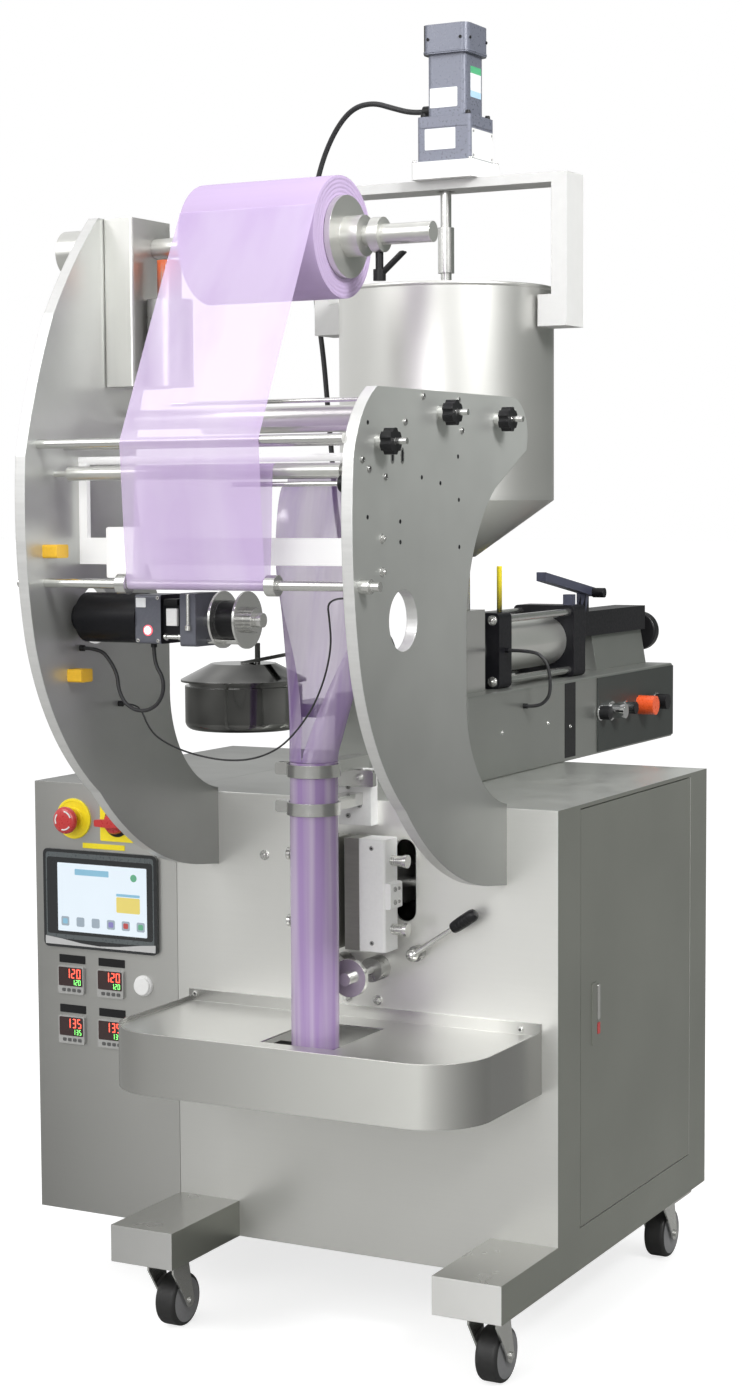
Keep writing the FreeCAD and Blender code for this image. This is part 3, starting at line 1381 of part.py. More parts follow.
def sealing():
    """Vertical jaws, pull wheels, hand lever and the cross jaws under the tray."""
    boss = rod("LeverBoss", "lever_boss_radius", "lever_boss_length", "lever_across",
               "0 - lever_boss_length", "lever_up", "y")
    boss_bore = rod("LeverBore", "lever_pin_radius + pull_fit", "lever_boss_length + 2 * overcut",
                    "lever_across", "0 - lever_boss_length - overcut", "lever_up", "y")
    rail_start = "(2 * tube_across - slot_left - slot_width - rail_margin)"
    rail_end = "(slot_left + slot_width + rail_margin)"
    rail = [rod("JawRail", "rail_radius", rail_end + " - " + rail_start, rail_start,
                "rail_in", "rail_up", "x")]
    for end, at in (("Left", rail_start + " - rail_block_side"), ("Right", rail_end)):
        rail.append(box("RailBlock" + end, at, "front_plate_wall", "rail_up - rail_block_side / 2",
                        "rail_block_side", "rail_in + rail_block_side / 2", "rail_block_side"))
    bosses = [cut("LeverBossBored", boss, [boss_bore]), fuse("JawRailSet", rail)]
    for side, sign in (("right", 1), ("left", -1)):
        tag = side.title()

        def spot(low, width):
            if sign > 0:
                return "tube_across + (%s)" % low
            return "tube_across - (%s) - (%s)" % (low, width)

        jaw(side, tag, spot)
        centre = spot("pull_radius + overcut", "0")
        bearing_start = "0 - pull_bearing_length"
        bearing = rod("PullBearing" + tag, "pull_bearing_radius", "pull_bearing_length",
                      centre, bearing_start, "pull_up", "y")
        bearing_bore = rod("PullBore" + tag, "pull_shaft_radius + pull_fit",
                           "pull_bearing_length + 2 * overcut", centre,
                           bearing_start + " - overcut", "pull_up", "y")
        bosses.append(cut("PullBearingCut" + tag, bearing, [bearing_bore]))
        node("pull_wheel_" + side, fuse("PullWheel" + tag, [
            rod("PullDisc" + tag, "pull_radius", "pull_wall", centre, "0 - pull_front", "pull_up", "y"),
            rod("PullHub" + tag, "pull_hub_radius", "pull_hub_length", centre,
                "0 - pull_front - pull_hub_length", "pull_up", "y"),
            rod("PullShaft" + tag, "pull_shaft_radius", "pull_front - running_gap", centre,
                "0 - pull_front", "pull_up", "y"),
        ]))
    node("front_bosses", fuse("FrontBosses", bosses))
    tilt = FreeCAD.Rotation(FreeCAD.Vector(0, 1, 0), value("lever_tilt"))
    start = "0 - lever_boss_length - running_gap - lever_hub_length / 2"
    hub = rod("LeverHub", "lever_hub_radius", "lever_hub_length", "lever_across",
              "0 - lever_boss_length - running_gap - lever_hub_length", "lever_up", "y")
    stem = doc.addObject("Part::Cylinder", "LeverStem")
    grip = doc.addObject("Part::Cylinder", "LeverGrip")
    for item, radius, length in ((stem, "lever_rod_radius", "lever_rod_length"),
                                 (grip, "grip_radius", "grip_length")):
        item.Placement = FreeCAD.Placement(FreeCAD.Vector(), tilt)
        item.setExpression("Radius", bound(radius))
        item.setExpression("Height", bound(length))
    place(stem, "lever_across", start, "lever_up")
    place(grip, "lever_across + lever_rod_length * sin(lever_tilt)", start,
          "lever_up + lever_rod_length * cos(lever_tilt)")
    pin = rod("LeverPin", "lever_pin_radius", "lever_boss_length + lever_hub_length / 2",
              "lever_across", start, "lever_up", "y")
    node("hand_lever", fuse("HandLever", [hub, stem, grip, pin]))
    jaws = []
    for number, out in ((1, "tube_out + cross_jaw_gap + cross_jaw_depth"),
                        (2, "tube_out - cross_jaw_gap")):
        jaws.append(rounded("CrossJaw%d" % number, "YZ_Plane", "0", "0", "cross_jaw_depth",
                            "cross_jaw_height", "jaw_chamfer", "cross_jaw_width",
                            "cross_jaw_left", "0 - (%s)" % out, "cross_jaw_low"))
    for number, at in ((1, "cross_jaw_left + cross_rod_inset"),
                       (2, "cross_jaw_left + cross_jaw_width - cross_rod_inset")):
        jaws.append(rod("CrossRod%d" % number, "cross_rod_radius", "cross_rod_reach", at,
                        "0 - cross_rod_reach", "cross_jaw_low + cross_jaw_height / 2", "y"))
    node("cross_jaws", fuse("CrossJaws", jaws))


def jaw(side, tag, spot):
    """One vertical jaw: sealing bar, heater block with two spring bolts, and its arm on the rail."""
    bar = box("JawBar" + tag, spot("jaw_gap", "jaw_bar_width"), "0 - jaw_front + jaw_step",
              "jaw_low", "jaw_bar_width", "jaw_front - jaw_back - jaw_step", "jaw_length")
    block = rounded("JawBlock" + tag, "XY_Plane", "0", "0", "jaw_body_width",
                    "jaw_front - jaw_back", "jaw_chamfer", "jaw_length",
                    spot("jaw_gap + jaw_bar_width", "jaw_body_width"), "0 - jaw_front", "jaw_low")
    arm_at = "slot_left + slot_width / 2 - tube_across - jaw_stroke / 2 - jaw_arm_wall / 2"
    arm = box("JawArm" + tag, spot(arm_at, "jaw_arm_wall"), "0 - jaw_back - jaw_arm_lap",
              "jaw_arm_low", "jaw_arm_wall", "jaw_back + jaw_arm_lap + jaw_arm_reach",
              "jaw_arm_height")
    arm_bore = rod("JawArmBore" + tag, "rail_radius + pull_fit", "jaw_arm_wall + 2 * overcut",
                   spot(arm_at, "jaw_arm_wall") + " - overcut", "rail_in", "rail_up", "x")
    pieces = [bar, block, arm]
    outer = "jaw_gap + jaw_bar_width + jaw_body_width"
    for end, up in (("Low", "jaw_low + spring_inset"), ("High", "jaw_high - spring_inset")):
        for piece, radius, length, start in (
                ("Spring", "spring_radius", "spring_length + overcut", outer + " - overcut"),
                ("SpringHead", "spring_head_radius", "spring_head_wall",
                 outer + " + spring_length")):
            pieces.append(rod("Jaw%s%s%s" % (piece, end, tag), radius, length,
                              spot(start, length), "0 - spring_out", up, "x"))
    node("vertical_jaw_" + side, cut("Jaw" + tag, fuse("JawBlank" + tag, pieces), [arm_bore]))


def filler():
    """Base with the operator panel, the metering cylinder between two blocks, valve and air cylinder."""
    node("filler_base", rounded("FillerBaseBox", "XZ_Plane", "0", "0", "base_right - base_left",
                                "base_height", "base_corner", "base_back - base_front",
                                "base_left", "base_back", "cabinet_height"))
    face = "base_right + panel_wall"
    panel = [box("PanelSheet", "base_right", "panel_start", "cabinet_height + panel_rise",
                 "panel_wall", "base_back - panel_start", "base_height - 2 * panel_rise")]
    for number in ("one", "two", "three", "four", "five"):
        key = "dial_" + number
        panel.append(rod("PanelDial" + number.title(), key + "_radius", key + "_reach",
                         face, "panel_start + %s_in" % key, "dial_up", "x"))
    node("filler_panel", fuse("FillerPanel", panel))
    pieces = filler_blocks() + filler_linkage()
    node("filler_cylinder", fuse("FillerCylinder", pieces))
    knob = spun("KnobDisc", [
        ("0", "0", None),
        ("knob_radius - knob_edge", "0", "knob_edge"),
        ("knob_radius", "knob_edge", None),
        ("knob_radius", "knob_wall - knob_edge", "knob_edge"),
        ("knob_radius - knob_edge", "knob_wall", None),
        ("0", "knob_wall", None),
    ], "filler_across", "rear_reach - knob_wall", "knob_up", "y")
    node("volume_knob", fuse("VolumeKnob", [
        knob,
        rod("KnobStem", "knob_stem_radius", "rear_reach - knob_wall - air_end + overcut",
            "filler_across", "air_end", "(air_low + air_high) / 2", "y"),
    ]))
    cover = [
        ("cover_left", "base_high", None),
        ("cover_foot", "base_high", None),
        ("cover_top", "cover_high", None),
        ("cover_left", "cover_high", None),
    ]
    node("cylinder_cover", slab("CylinderCover", "XZ_Plane", cover, "cover_end - cover_start",
                                "0", "cover_start", "0", True))
    valve_back = "hopper_in + valve_depth / 2"
    node("valve_body", fuse("ValveBody", [
        box("ValveBlock", "filler_across - valve_width / 2", "hopper_in - valve_depth / 2",
            "base_high", "valve_width", "valve_depth", "valve_height"),
        rod("ValveNeck", "throat_radius - neck_wall", "hopper_throat - base_high - valve_height",
            "hopper_across", "hopper_in", "base_high + valve_height"),
        rod("ValveFerrule", "ferrule_radius", "front_block_start - (%s)" % valve_back,
            "filler_across", valve_back, "filler_up", "y"),
        rod("FerruleRim", "ferrule_rim_radius", "ferrule_rim_wall", "filler_across",
            "front_block_start - 2 * ferrule_rim_wall", "filler_up", "y"),
        rod("ValveNozzle", "nozzle_radius", "nozzle_length", "filler_across",
            "hopper_in - valve_depth / 2 - nozzle_length", "filler_up", "y"),
    ]))


def filler_blocks():
    """The two end blocks, four tie rods, the metering tube and the air cylinder behind them."""
    pieces = []
    for name, start, depth in (("FrontBlock", "front_block_start", "front_block_depth"),
                               ("BackBlock", "back_block_start", "back_block_depth")):
        pieces.append(rounded(name, "XZ_Plane", "0 - end_block_width / 2", "0",
                              "end_block_width", "end_block_height", "end_block_corner", depth,
                              "filler_across", start + " + " + depth, "base_high"))
    for side in ("-", "+"):
        for level, up in (("Low", "base_high + tie_rod_inset"),
                          ("High", "base_high + end_block_height - tie_rod_inset")):
            pieces.append(rod("TieRod%s%s" % (level, "Left" if side == "-" else "Right"),
                              "tie_rod_radius", "back_block_start - front_block_start",
                              "filler_across %s (end_block_width / 2 - tie_rod_inset)" % side,
                              "front_block_start + overcut", up, "y"))
    back = "back_block_start + back_block_depth"
    pieces.append(box("AirBody", "filler_across - air_width / 2", back + " - overcut", "air_low",
                      "air_width", "air_end - (%s) + overcut" % back, "air_height"))
    tube_start = "front_block_start + front_block_depth"
    pieces.append(rod("PistonTube", "cylinder_radius",
                      "back_block_start - (%s) + 2 * overcut" % tube_start, "filler_across",
                      tube_start + " - overcut", "filler_up", "y"))
    block_right = "filler_across + end_block_width / 2"
    pieces.append(rod("HoseGlandTop", "wire_gland_radius", "wire_gland_length", block_right,
                      "hose_gland_in", "filler_up", "x"))
    pieces.append(rod("Fitting", "fitting_radius", "fitting_height",
                      block_right + " - fitting_inset - fitting_radius",
                      "front_block_start + front_block_depth / 2",
                      "base_high + end_block_height"))
    return pieces


def filler_linkage():
    """The slanted bar over the cylinder on its two posts, with its cross knob."""
    foot = "filler_across + linkage_foot"
    start_up = "base_high + linkage_start_rise"
    end_up = "base_high + linkage_end_rise"
    bar = slab("LinkageBar", "YZ_Plane", [
        ("linkage_start", start_up, None),
        ("linkage_end", end_up, None),
        ("linkage_end", end_up + " - linkage_wall", None),
        ("linkage_start", start_up + " - linkage_wall", None),
    ], "linkage_width", foot, "0", "0")
    pieces = [bar]
    for name, at, low in (
            ("LinkagePost", "back_block_start + linkage_wall", "base_high + end_block_height"),
            ("LinkageRear", "linkage_end - 2 * linkage_wall", "air_high")):
        pieces.append(box(name, "%s - (%s)" % (foot, "linkage_width / 2") if name == "LinkageRear"
                          else foot, at, low, "linkage_width", "linkage_wall",
                          end_up + " - linkage_wall / 2 - (%s)" % low))
    pieces.append(rod("LinkageKnob", "linkage_knob_radius", "linkage_knob_length",
                      foot + " + linkage_width", "linkage_end - linkage_wall",
                      end_up + " - linkage_wall / 2", "x"))
    return pieces


def hopper_and_stirrer():
    """Open hopper with a rolled rim, the beam over it, the geared motor and the stirrer."""
    shell = [
        ("throat_radius - neck_wall", "hopper_throat", None),
        ("throat_radius", "hopper_throat", None),
        ("hopper_radius", "hopper_shoulder", None),
        ("hopper_radius", "hopper_rim - 3 * hopper_lip / 2", "hopper_lip"),
        ("hopper_radius", "hopper_rim", None),
        ("hopper_radius - hopper_wall", "hopper_rim", None),
        ("hopper_radius - hopper_wall", "hopper_shoulder + overcut", None),
        ("throat_radius - neck_wall", "hopper_throat + throat_floor", None),
    ]
    kettle = turned("HopperShell", shell, "hopper_across", "hopper_in", "0")
    lugs = []
    for side, start in (("Left", "hopper_across - beam_half_width + bracket_width"),
                        ("Right", "hopper_across + hopper_radius - hopper_wall / 2 - lug_bite")):
        lugs.append(box("Lug" + side, start, "hopper_in - lug_width / 2", "bracket_low",
                        "beam_half_width - bracket_width - hopper_radius + hopper_wall / 2 + lug_bite",
                        "lug_width", "bracket_high - bracket_low"))
    node("hopper", fuse("Hopper", [kettle] + lugs))
    beam_front = "hopper_in - beam_depth / 2"
    beam = box("BeamTop", "hopper_across - beam_half_width", beam_front, "beam_high - beam_wall",
               "2 * beam_half_width", "beam_depth", "beam_wall")
    shaft_hole = rod("BeamHole", "stirrer_radius + beam_clearance", "beam_wall + 2 * overcut",
                     "hopper_across", "hopper_in", "beam_high - beam_wall - overcut")
    pieces = [cut("BeamBored", beam, [shaft_hole])]
    for number, start in ((1, "hopper_across - beam_half_width"),
                          (2, "hopper_across + beam_half_width - post_wall")):
        pieces.append(box("Post%d" % number, start, beam_front, "bracket_low", "post_wall",
                          "beam_depth", "beam_high - beam_wall - bracket_low"))
    for number, start in ((1, "hopper_across - beam_half_width"),
                          (2, "hopper_across + beam_half_width - bracket_width")):
        pieces.append(box("Bracket%d" % number, start, beam_front, "bracket_low",
                          "bracket_width", "beam_depth", "bracket_high - bracket_low"))
    node("stirrer_beam", fuse("StirrerBeam", pieces))
    stirrer_motor()
    node("stirrer", fuse("Stirrer", [
        rod("StirrerShaft", "stirrer_radius", "motor_low - shaft_seat_drop - running_gap - stirrer_bottom",
            "hopper_across", "hopper_in", "stirrer_bottom"),
        rod("Coupling", "coupling_radius", "coupling_length", "hopper_across", "hopper_in",
            "coupling_high - coupling_length"),
        box("PaddleLow", "hopper_across - paddle_reach", "hopper_in - paddle_wall / 2",
            "stirrer_bottom", "2 * paddle_reach", "paddle_wall", "paddle_height"),
        box("PaddleHigh", "hopper_across - paddle_wall / 2", "hopper_in - paddle_reach",
            "stirrer_bottom + paddle_pitch", "paddle_wall", "2 * paddle_reach", "paddle_height"),
    ]))


def stirrer_motor():
    """The geared motor on its plate over the beam, with a round-cornered body and cap."""
    def block(name, width, depth, corner, low, height):
        return rounded(name, "XY_Plane", "0 - %s / 2" % width, "0 - %s / 2" % depth, width, depth,
                       corner, height, "motor_across", "hopper_in", low)

    wide = "(gearbox_width + 2 * gear_plate_margin)"
    deep = "(gearbox_depth + 2 * gear_plate_margin)"
    plate = block("GearPlate", wide, deep, "gearbox_corner", "beam_high", "gear_plate_wall")
    gear = block("GearHead", "gearbox_width", "gearbox_depth", "gearbox_corner", "gearbox_low",
                 "gearbox_height")
    gear_bore = rod("GearBore", "stirrer_radius + axle_fit",
                    "motor_low - shaft_seat_drop - beam_high + overcut",
                    "hopper_across", "hopper_in", "beam_high - overcut")
    node("stirrer_drive", fuse("StirrerDrive", [
        cut("StirrerGearbox", fuse("GearBlank", [plate, gear]), [gear_bore]),
        block("MotorBody", "motor_side", "motor_side", "motor_corner", "motor_low", "motor_height"),
        block("MotorCap", "motor_cap_side", "motor_cap_side", "motor_cap_corner", "motor_high",
              "motor_cap_height"),
        rod("MotorGland", "gland_radius", "motor_gland_length + overcut",
            "motor_across - motor_side / 2 - motor_gland_length", "hopper_in",
            "motor_low + gland_rise", "x"),
    ]))


def round_pan():
    """Polished round pan with a stepped lid and its lever, on an arm from the filler base."""
    lid_low = "pan_height + lid_gap"
    shell = [
        ("0", "0", None),
        ("pan_radius - pan_edge", "0", "pan_edge"),
        ("pan_radius", "pan_edge", None),
        ("pan_radius", "pan_height", None),
        ("pan_radius - lid_neck_inset", "pan_height", None),
        ("pan_radius - lid_neck_inset", lid_low, None),
        ("pan_radius + lid_overhang", lid_low, None),
        ("pan_radius + lid_overhang", lid_low + " + lid_rim", None),
        ("lid_top_radius", "pan_height + lid_height", None),
        ("0", "pan_height + lid_height", None),
    ]
    pan = turned("PanShell", shell, "pan_across", "pan_in", "pan_low")
    blank = box("PanArmBlank", "base_left - pan_arm_width", "base_front - pan_arm_depth / 2",
                "pan_low + pan_arm_rise", "pan_arm_width", "pan_arm_depth", "pan_arm_wall")
    room = rod("PanRoom", "pan_radius - pan_edge", "pan_height", "pan_across", "pan_in", "pan_low")
    lid_top = "pan_low + pan_height + lid_height"
    bar = doc.addObject("Part::Box", "LidBar")
    tilt = FreeCAD.Rotation(FreeCAD.Vector(0, 1, 0), value("0 - lid_bar_tilt"))
    bar.Placement = FreeCAD.Placement(FreeCAD.Vector(), tilt)
    for prop, text in (("Length", "lid_bar_length"), ("Width", "lid_bar_width"),
                       ("Height", "lid_bar_wall")):
        bar.setExpression(prop, bound(text))
    place(bar, "pan_across", "pan_in - lid_bar_width / 2", lid_top + " - lid_bar_wall / 2")
    pin = rod("LidPin", "lid_pin_radius", "lid_pin_height", "pan_across + lid_top_radius / 2",
              "pan_in", lid_top)
    node("round_pan", fuse("RoundPan", [pan, cut("PanArm", blank, [room]), bar, pin]))


def date_coder():
    """Coder motor and printing head on the left plate, and the two ribbon spools at its end."""
    at = ["plate_left_inner"]

    def along(length):
        start = at[0]
        at[0] = "%s + %s" % (start, length)
        return start

    axis = ("0 - coder_out", "coder_up", "x")

    def block(name, key):
        return rounded(name, "YZ_Plane", "0 - %s_depth / 2" % key, "0 - %s_height / 2" % key,
                       key + "_depth", key + "_height", "jaw_chamfer", key + "_length",
                       along(key + "_length"), "0 - coder_out", "coder_up")

    node("date_coder", fuse("DateCoder", [
        rod("CoderMount", "coder_mount_radius", "coder_mount_length",
            along("coder_mount_length"), *axis),
        rod("CoderMotor", "coder_motor_radius", "coder_motor_length",
            along("coder_motor_length"), *axis),
        rod("CoderFlange", "coder_motor_radius", "coder_flange_length",
            along("coder_flange_length"), *axis),
        block("CoderBlock", "coder_block"),
        block("CoderSlide", "coder_slide"),
        block("CoderHead", "coder_head"),
    ]))
    rod_start = at[0]
    spools = [
        rod("CoderBarrel", "coder_barrel_radius", "coder_barrel_length",
            along("coder_barrel_length"), *axis),
        rod("LowerRod", "lower_rod_radius", "lower_rod_length", rod_start, "0 - coder_out",
            "coder_up - lower_rod_drop", "x"),
    ]
    for name, radius, length in (
            ("SpoolFar", "spool_radius", "spool_wall"),
            ("SpoolCore", "spool_core_radius", "spool_gap"),
            ("SpoolNear", "spool_radius", "spool_wall"),
            ("SpoolHub", "spool_hub_radius", "spool_hub_length"),
            ("SpoolEnd", "spool_end_radius", "spool_end_length")):
        spools.append(rod(name, radius, length, along(length), *axis))
    node("coder_spools", fuse("CoderSpools", spools))


def cord(label, radius, start, middle, end):
    """A cord as a tube of straight runs joined by tangent arcs, through a route chosen by hand.

    The spots between its ends are (across, in, rise over the cabinet top).
    """
    route = [start] + [(str(across), str(deep), "cabinet_height + (%s)" % rise)
                       for across, deep, rise in middle] + [end]
    spots = [point(*spot) for spot in route]
    size = value(radius)
    edges = []
    bends = []
    run_start = spots[0]
    for before, corner, after in zip(spots, spots[1:], spots[2:]):
        back = before - corner
        onward = after - corner
        trim = value("cord_trim") * min(back.Length, onward.Length)
        half_turn = (math.pi - back.getAngle(onward)) / 2
        bend = trim / math.tan(half_turn)
        bends.append(bend)
        back.normalize()
        onward.normalize()
        first = corner + back * trim
        last = corner + onward * trim
        crown = corner + (back + onward).normalize() * (bend / math.cos(half_turn) - bend)
        edges.append(Part.LineSegment(run_start, first).toShape())
        edges.append(Part.Arc(first, crown, last).toShape())
        run_start = last
    edges.append(Part.LineSegment(run_start, spots[-1]).toShape())
    length = sum(edge.Length for edge in edges)
    ring = Part.Wire(Part.makeCircle(size, spots[0], spots[1] - spots[0]))
    tube = doc.addObject("Part::Feature", label.title().replace("_", ""))
    tube.Shape = Part.Wire(edges).makePipeShell([ring], True, False)
    share = tube.Shape.Volume / (math.pi * size * size * length)
    print("cord %s length %d, smallest radius %.1f or %.1f diameters at corner %d, share %.3f" % (
        label, length, min(bends), min(bends) / size / 2, bends.index(min(bends)) + 1, share))
    node(label, tube)


def cords():
    """Motor cable, coder cable, sensor wire and air hose, each between two glands."""
    coder_low = "coder_up - coder_block_height / 2"
    node("cord_glands", fuse("CordGlands", [
        rod("TopGland", "gland_radius", "gland_length", "top_gland_across", "top_gland_in",
            "base_high"),
        rod("SideGland", "wire_gland_radius", "wire_gland_length", "base_right",
            "hose_gland_in + 2 * gland_radius", "cabinet_height + hose_gland_rise", "x"),
        rod("CoderGland", "wire_gland_radius", "wire_gland_length", "coder_gland_across",
            "0 - coder_gland_out", coder_low + " - wire_gland_length"),
        rod("PlateGland", "wire_gland_radius", "wire_gland_length", "plate_left_inner",
            "0 - plate_gland_out", "cabinet_height + plate_gland_rise", "x"),
        rod("WireGlandStart", "wire_gland_radius", "wire_gland_length", "plate_left_inner",
            "0 - wire_start_out", "cabinet_height + wire_start_rise", "x"),
        rod("WireGlandEnd", "wire_gland_radius", "wire_gland_length",
            "plate_right_inner - wire_gland_length", "0 - wire_end_out",
            "cabinet_height + wire_end_rise", "x"),
    ]))
    cord("stirrer_cable", "stirrer_cord_radius",
         ("motor_across - motor_side / 2 - motor_gland_length", "hopper_in",
          "motor_low + gland_rise"), [
             ("motor_across - motor_side / 2 - 2 * motor_gland_length", "hopper_in",
              "motor_low + gland_rise - cabinet_height"),
             (452, 299, 991), (416, 305, 1003), (376, 314, 999), (340, 326, 971),
             (309, 338, 925), (290, 345, 867), (287, 346, 795), (295, 344, 715),
             (306, 346, 635), (314, 344, 555), (320, 346, 475), (327, 344, 395),
             (337, 346, 335), (352, 344, 275), (388, 345, 232),
             ("top_gland_across", "top_gland_in", 195),
         ], ("top_gland_across", "top_gland_in", "base_high + gland_length"))
    cord("coder_cable", "coder_cord_radius",
         ("coder_gland_across", "0 - coder_gland_out", coder_low + " - wire_gland_length"), [
             ("coder_gland_across", "0 - coder_gland_out", 208), (451, -345, 190),
             (451, -344, 171), (442, -344, 155),
             (425, -343, 146), (407, -343, 146), (390, -342, 155), (381, -342, 172),
             (379, -341, 190), (369, -340, 207), (351, "0 - plate_gland_out", "plate_gland_rise"),
         ], ("plate_left_inner + wire_gland_length", "0 - plate_gland_out",
             "cabinet_height + plate_gland_rise"))
    cord("sensor_wire", "wire_radius",
         ("plate_left_inner + wire_gland_length", "0 - wire_start_out",
          "cabinet_height + wire_start_rise"), [
             (346, -250, 145), (364, -261, 136), (381, -275, 120), (401, -284, 106),
             (436, -296, 95), (480, -311, 88), (530, -326, 85), (580, -342, 90),
             (626, -357, 106), (661, -370, 132), (689, -379, 163), (709, -385, 200),
             (721, -391, 238), (724, -400, 268), (726, "0 - wire_end_out", "wire_end_rise"),
         ], ("plate_right_inner - wire_gland_length", "0 - wire_end_out",
             "cabinet_height + wire_end_rise"))
    cord("filler_hose", "hose_radius",
         ("filler_across + end_block_width / 2 + wire_gland_length", "hose_gland_in",
          "filler_up"), [
             (637, "hose_gland_in", "filler_up - cabinet_height"), (652, 394, 177), (661, 397, 161), (661, 403, 125),
             (652, 407, 110), (637, "hose_gland_in + 2 * gland_radius", "hose_gland_rise"),
         ], ("base_right + wire_gland_length", "hose_gland_in + 2 * gland_radius",
             "cabinet_height + hose_gland_rise"))


cabinet()
side_door()
skids_and_casters()
front_tray()
controls()
side_plates()
cross_bars()
plate_knobs()
sensor_bar()
roll_set()
film()
forming_tube()
sealing()
filler()
hopper_and_stirrer()
round_pan()
date_coder()
cords()
doc.recompute()

for item in doc.Objects:
    if "Invalid" in item.State or "Error" in item.State:
        raise RuntimeError("%s (%s) failed: %s" % (item.Label, item.Name, item.State))
os.makedirs("parts", exist_ok=True)
extent = FreeCAD.BoundBox()
for item in SUBPARTS:
    shape = item.Shape
    if shape.isNull() or not shape.isValid() or not shape.Solids:
        raise RuntimeError("%s has no valid solid" % item.Label)
    shape.exportStep(os.path.join("parts", item.Label + ".step"))
    extent.add(shape.BoundBox)
    print(item.Label, len(shape.Solids), round(shape.Volume))
print("extent", extent)
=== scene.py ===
import math

import bmesh
import bpy
from mathutils import Matrix, Vector


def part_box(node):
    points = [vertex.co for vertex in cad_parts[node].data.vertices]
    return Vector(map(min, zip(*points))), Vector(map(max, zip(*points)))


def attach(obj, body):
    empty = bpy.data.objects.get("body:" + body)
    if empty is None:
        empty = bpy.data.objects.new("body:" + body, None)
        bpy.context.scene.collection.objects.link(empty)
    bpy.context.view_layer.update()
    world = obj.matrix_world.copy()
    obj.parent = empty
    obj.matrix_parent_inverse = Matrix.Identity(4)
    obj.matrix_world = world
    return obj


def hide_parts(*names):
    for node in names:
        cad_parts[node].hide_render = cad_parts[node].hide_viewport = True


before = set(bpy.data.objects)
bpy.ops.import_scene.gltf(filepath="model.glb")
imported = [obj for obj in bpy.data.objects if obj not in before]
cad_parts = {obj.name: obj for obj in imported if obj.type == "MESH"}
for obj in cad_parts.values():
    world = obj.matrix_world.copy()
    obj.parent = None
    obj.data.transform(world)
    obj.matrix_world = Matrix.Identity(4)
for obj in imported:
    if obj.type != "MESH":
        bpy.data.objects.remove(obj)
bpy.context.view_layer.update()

scene = bpy.context.scene
scene.view_settings.view_transform = "Standard"


# The middle of the machine off the cabinet's left front lower corner, and the casters' height
MIDDLE_X, MIDDLE_Y, CASTER_HEIGHT = 424.75, 315, 110


def at(x, y, z):
    """A place in the row frame, in metres, from millimetres off the cabinet's left front lower corner."""
    return Vector(((x - MIDDLE_X) / 1000, (y - MIDDLE_Y) / 1000, (z + CASTER_HEIGHT) / 1000))


def put(name, data):
    """An object with this data, in the scene."""
    item = bpy.data.objects.new(name, data)
    scene.collection.objects.link(item)
    return item


# Camera
view = bpy.data.cameras.new("view")
view.lens = 62.62
view.sensor_width = 36
view.clip_start = 0.05
camera = put("camera", view)
turn = (Matrix.Rotation(math.radians(27.853), 4, "Z")
        @ Matrix.Rotation(math.radians(90 - 4.6644), 4, "X")
        @ Matrix.Rotation(math.radians(-0.3437), 4, "Z"))
camera.matrix_world = Matrix.Translation(at(2130.1, -2955.0, 1056.8)) @ turn
scene.camera = camera

# World and lamps
world = bpy.data.worlds.new("studio")
scene.world = world
world.use_nodes = True
world_tree = world.node_tree
world_tree.nodes.clear()


def link(a, b):
    a.id_data.links.new(a, b)


def add(tree, kind, **values):
    """A shader node with its inputs set; an underscore stands for a space."""
    item = tree.nodes.new("ShaderNode" + kind)
    for key, value in values.items():
        item.inputs[key.replace("_", " ")].default_value = value
    return item


def tones(tree, value, *stops):
    """A value turned into a colour, by stops of place and colour."""
    ramp = add(tree, "ValToRGB")
    for element, (place, color) in zip(ramp.color_ramp.elements, stops):
        element.position = place
        element.color = (*color, 1)
    link(value, ramp.inputs["Fac"])
    return ramp.outputs["Color"]


def mixed(tree, kind, amount, first, second):
    """The output of a tree that goes from one shader to another by an amount."""
    end = add(tree, kind)
    mixer = add(tree, "MixShader")
    link(amount, mixer.inputs["Fac"])
    link(first.outputs[0], mixer.inputs[1])
    link(second.outputs[0], mixer.inputs[2])
    link(mixer.outputs[0], end.inputs["Surface"])


path = add(world_tree, "LightPath")
seen = add(world_tree, "Background", Color=(1, 1, 1, 1), Strength=1.0)
lit = add(world_tree, "Background", Strength=0.85)
direction = add(world_tree, "TexCoord")
behind = add(world_tree, "VectorMath")
behind.operation = "DOT_PRODUCT"
behind.inputs[1].default_value = (0.62, 0.78, -0.05)
link(direction.outputs["Generated"], behind.inputs[0])
link(tones(world_tree, behind.outputs["Value"], (0.1, (1.0, 1.0, 1.0)), (0.78, (0.19, 0.205, 0.19))),
     lit.inputs["Color"])
mixed(world_tree, "OutputWorld", path.outputs["Is Camera Ray"], lit, seen)


def lamp(name, place, aim, size, power):
    data = bpy.data.lights.new(name, "AREA")
    data.shape = "SQUARE"
    data.size = size
    data.energy = power
    item = put(name, data)
    item.location = Vector(place)
    item.rotation_euler = (Vector(aim) - Vector(place)).to_track_quat("-Z", "Y").to_euler()
    return item


lamp("key", (-2.2, -3.6, 3.4), (0, 0, 0.9), 2.4, 58)
lamp("front", (0.6, -4.2, 1.9), (0, 0, 1.0), 1.8, 42)
lamp("top", (0.3, 0.6, 4.0), (0, 0, 0.9), 2.0, 22)
side = lamp("side", (2.6, -1.3, 2.9), (0.35, 0.0, 1.35), 0.9, 9)
side.data.spread = math.radians(46)

# Materials
def blank(name):
    """A material with an empty node tree."""
    item = bpy.data.materials.new(name)
    item.use_nodes = True
    item.node_tree.nodes.clear()
    return item, item.node_tree


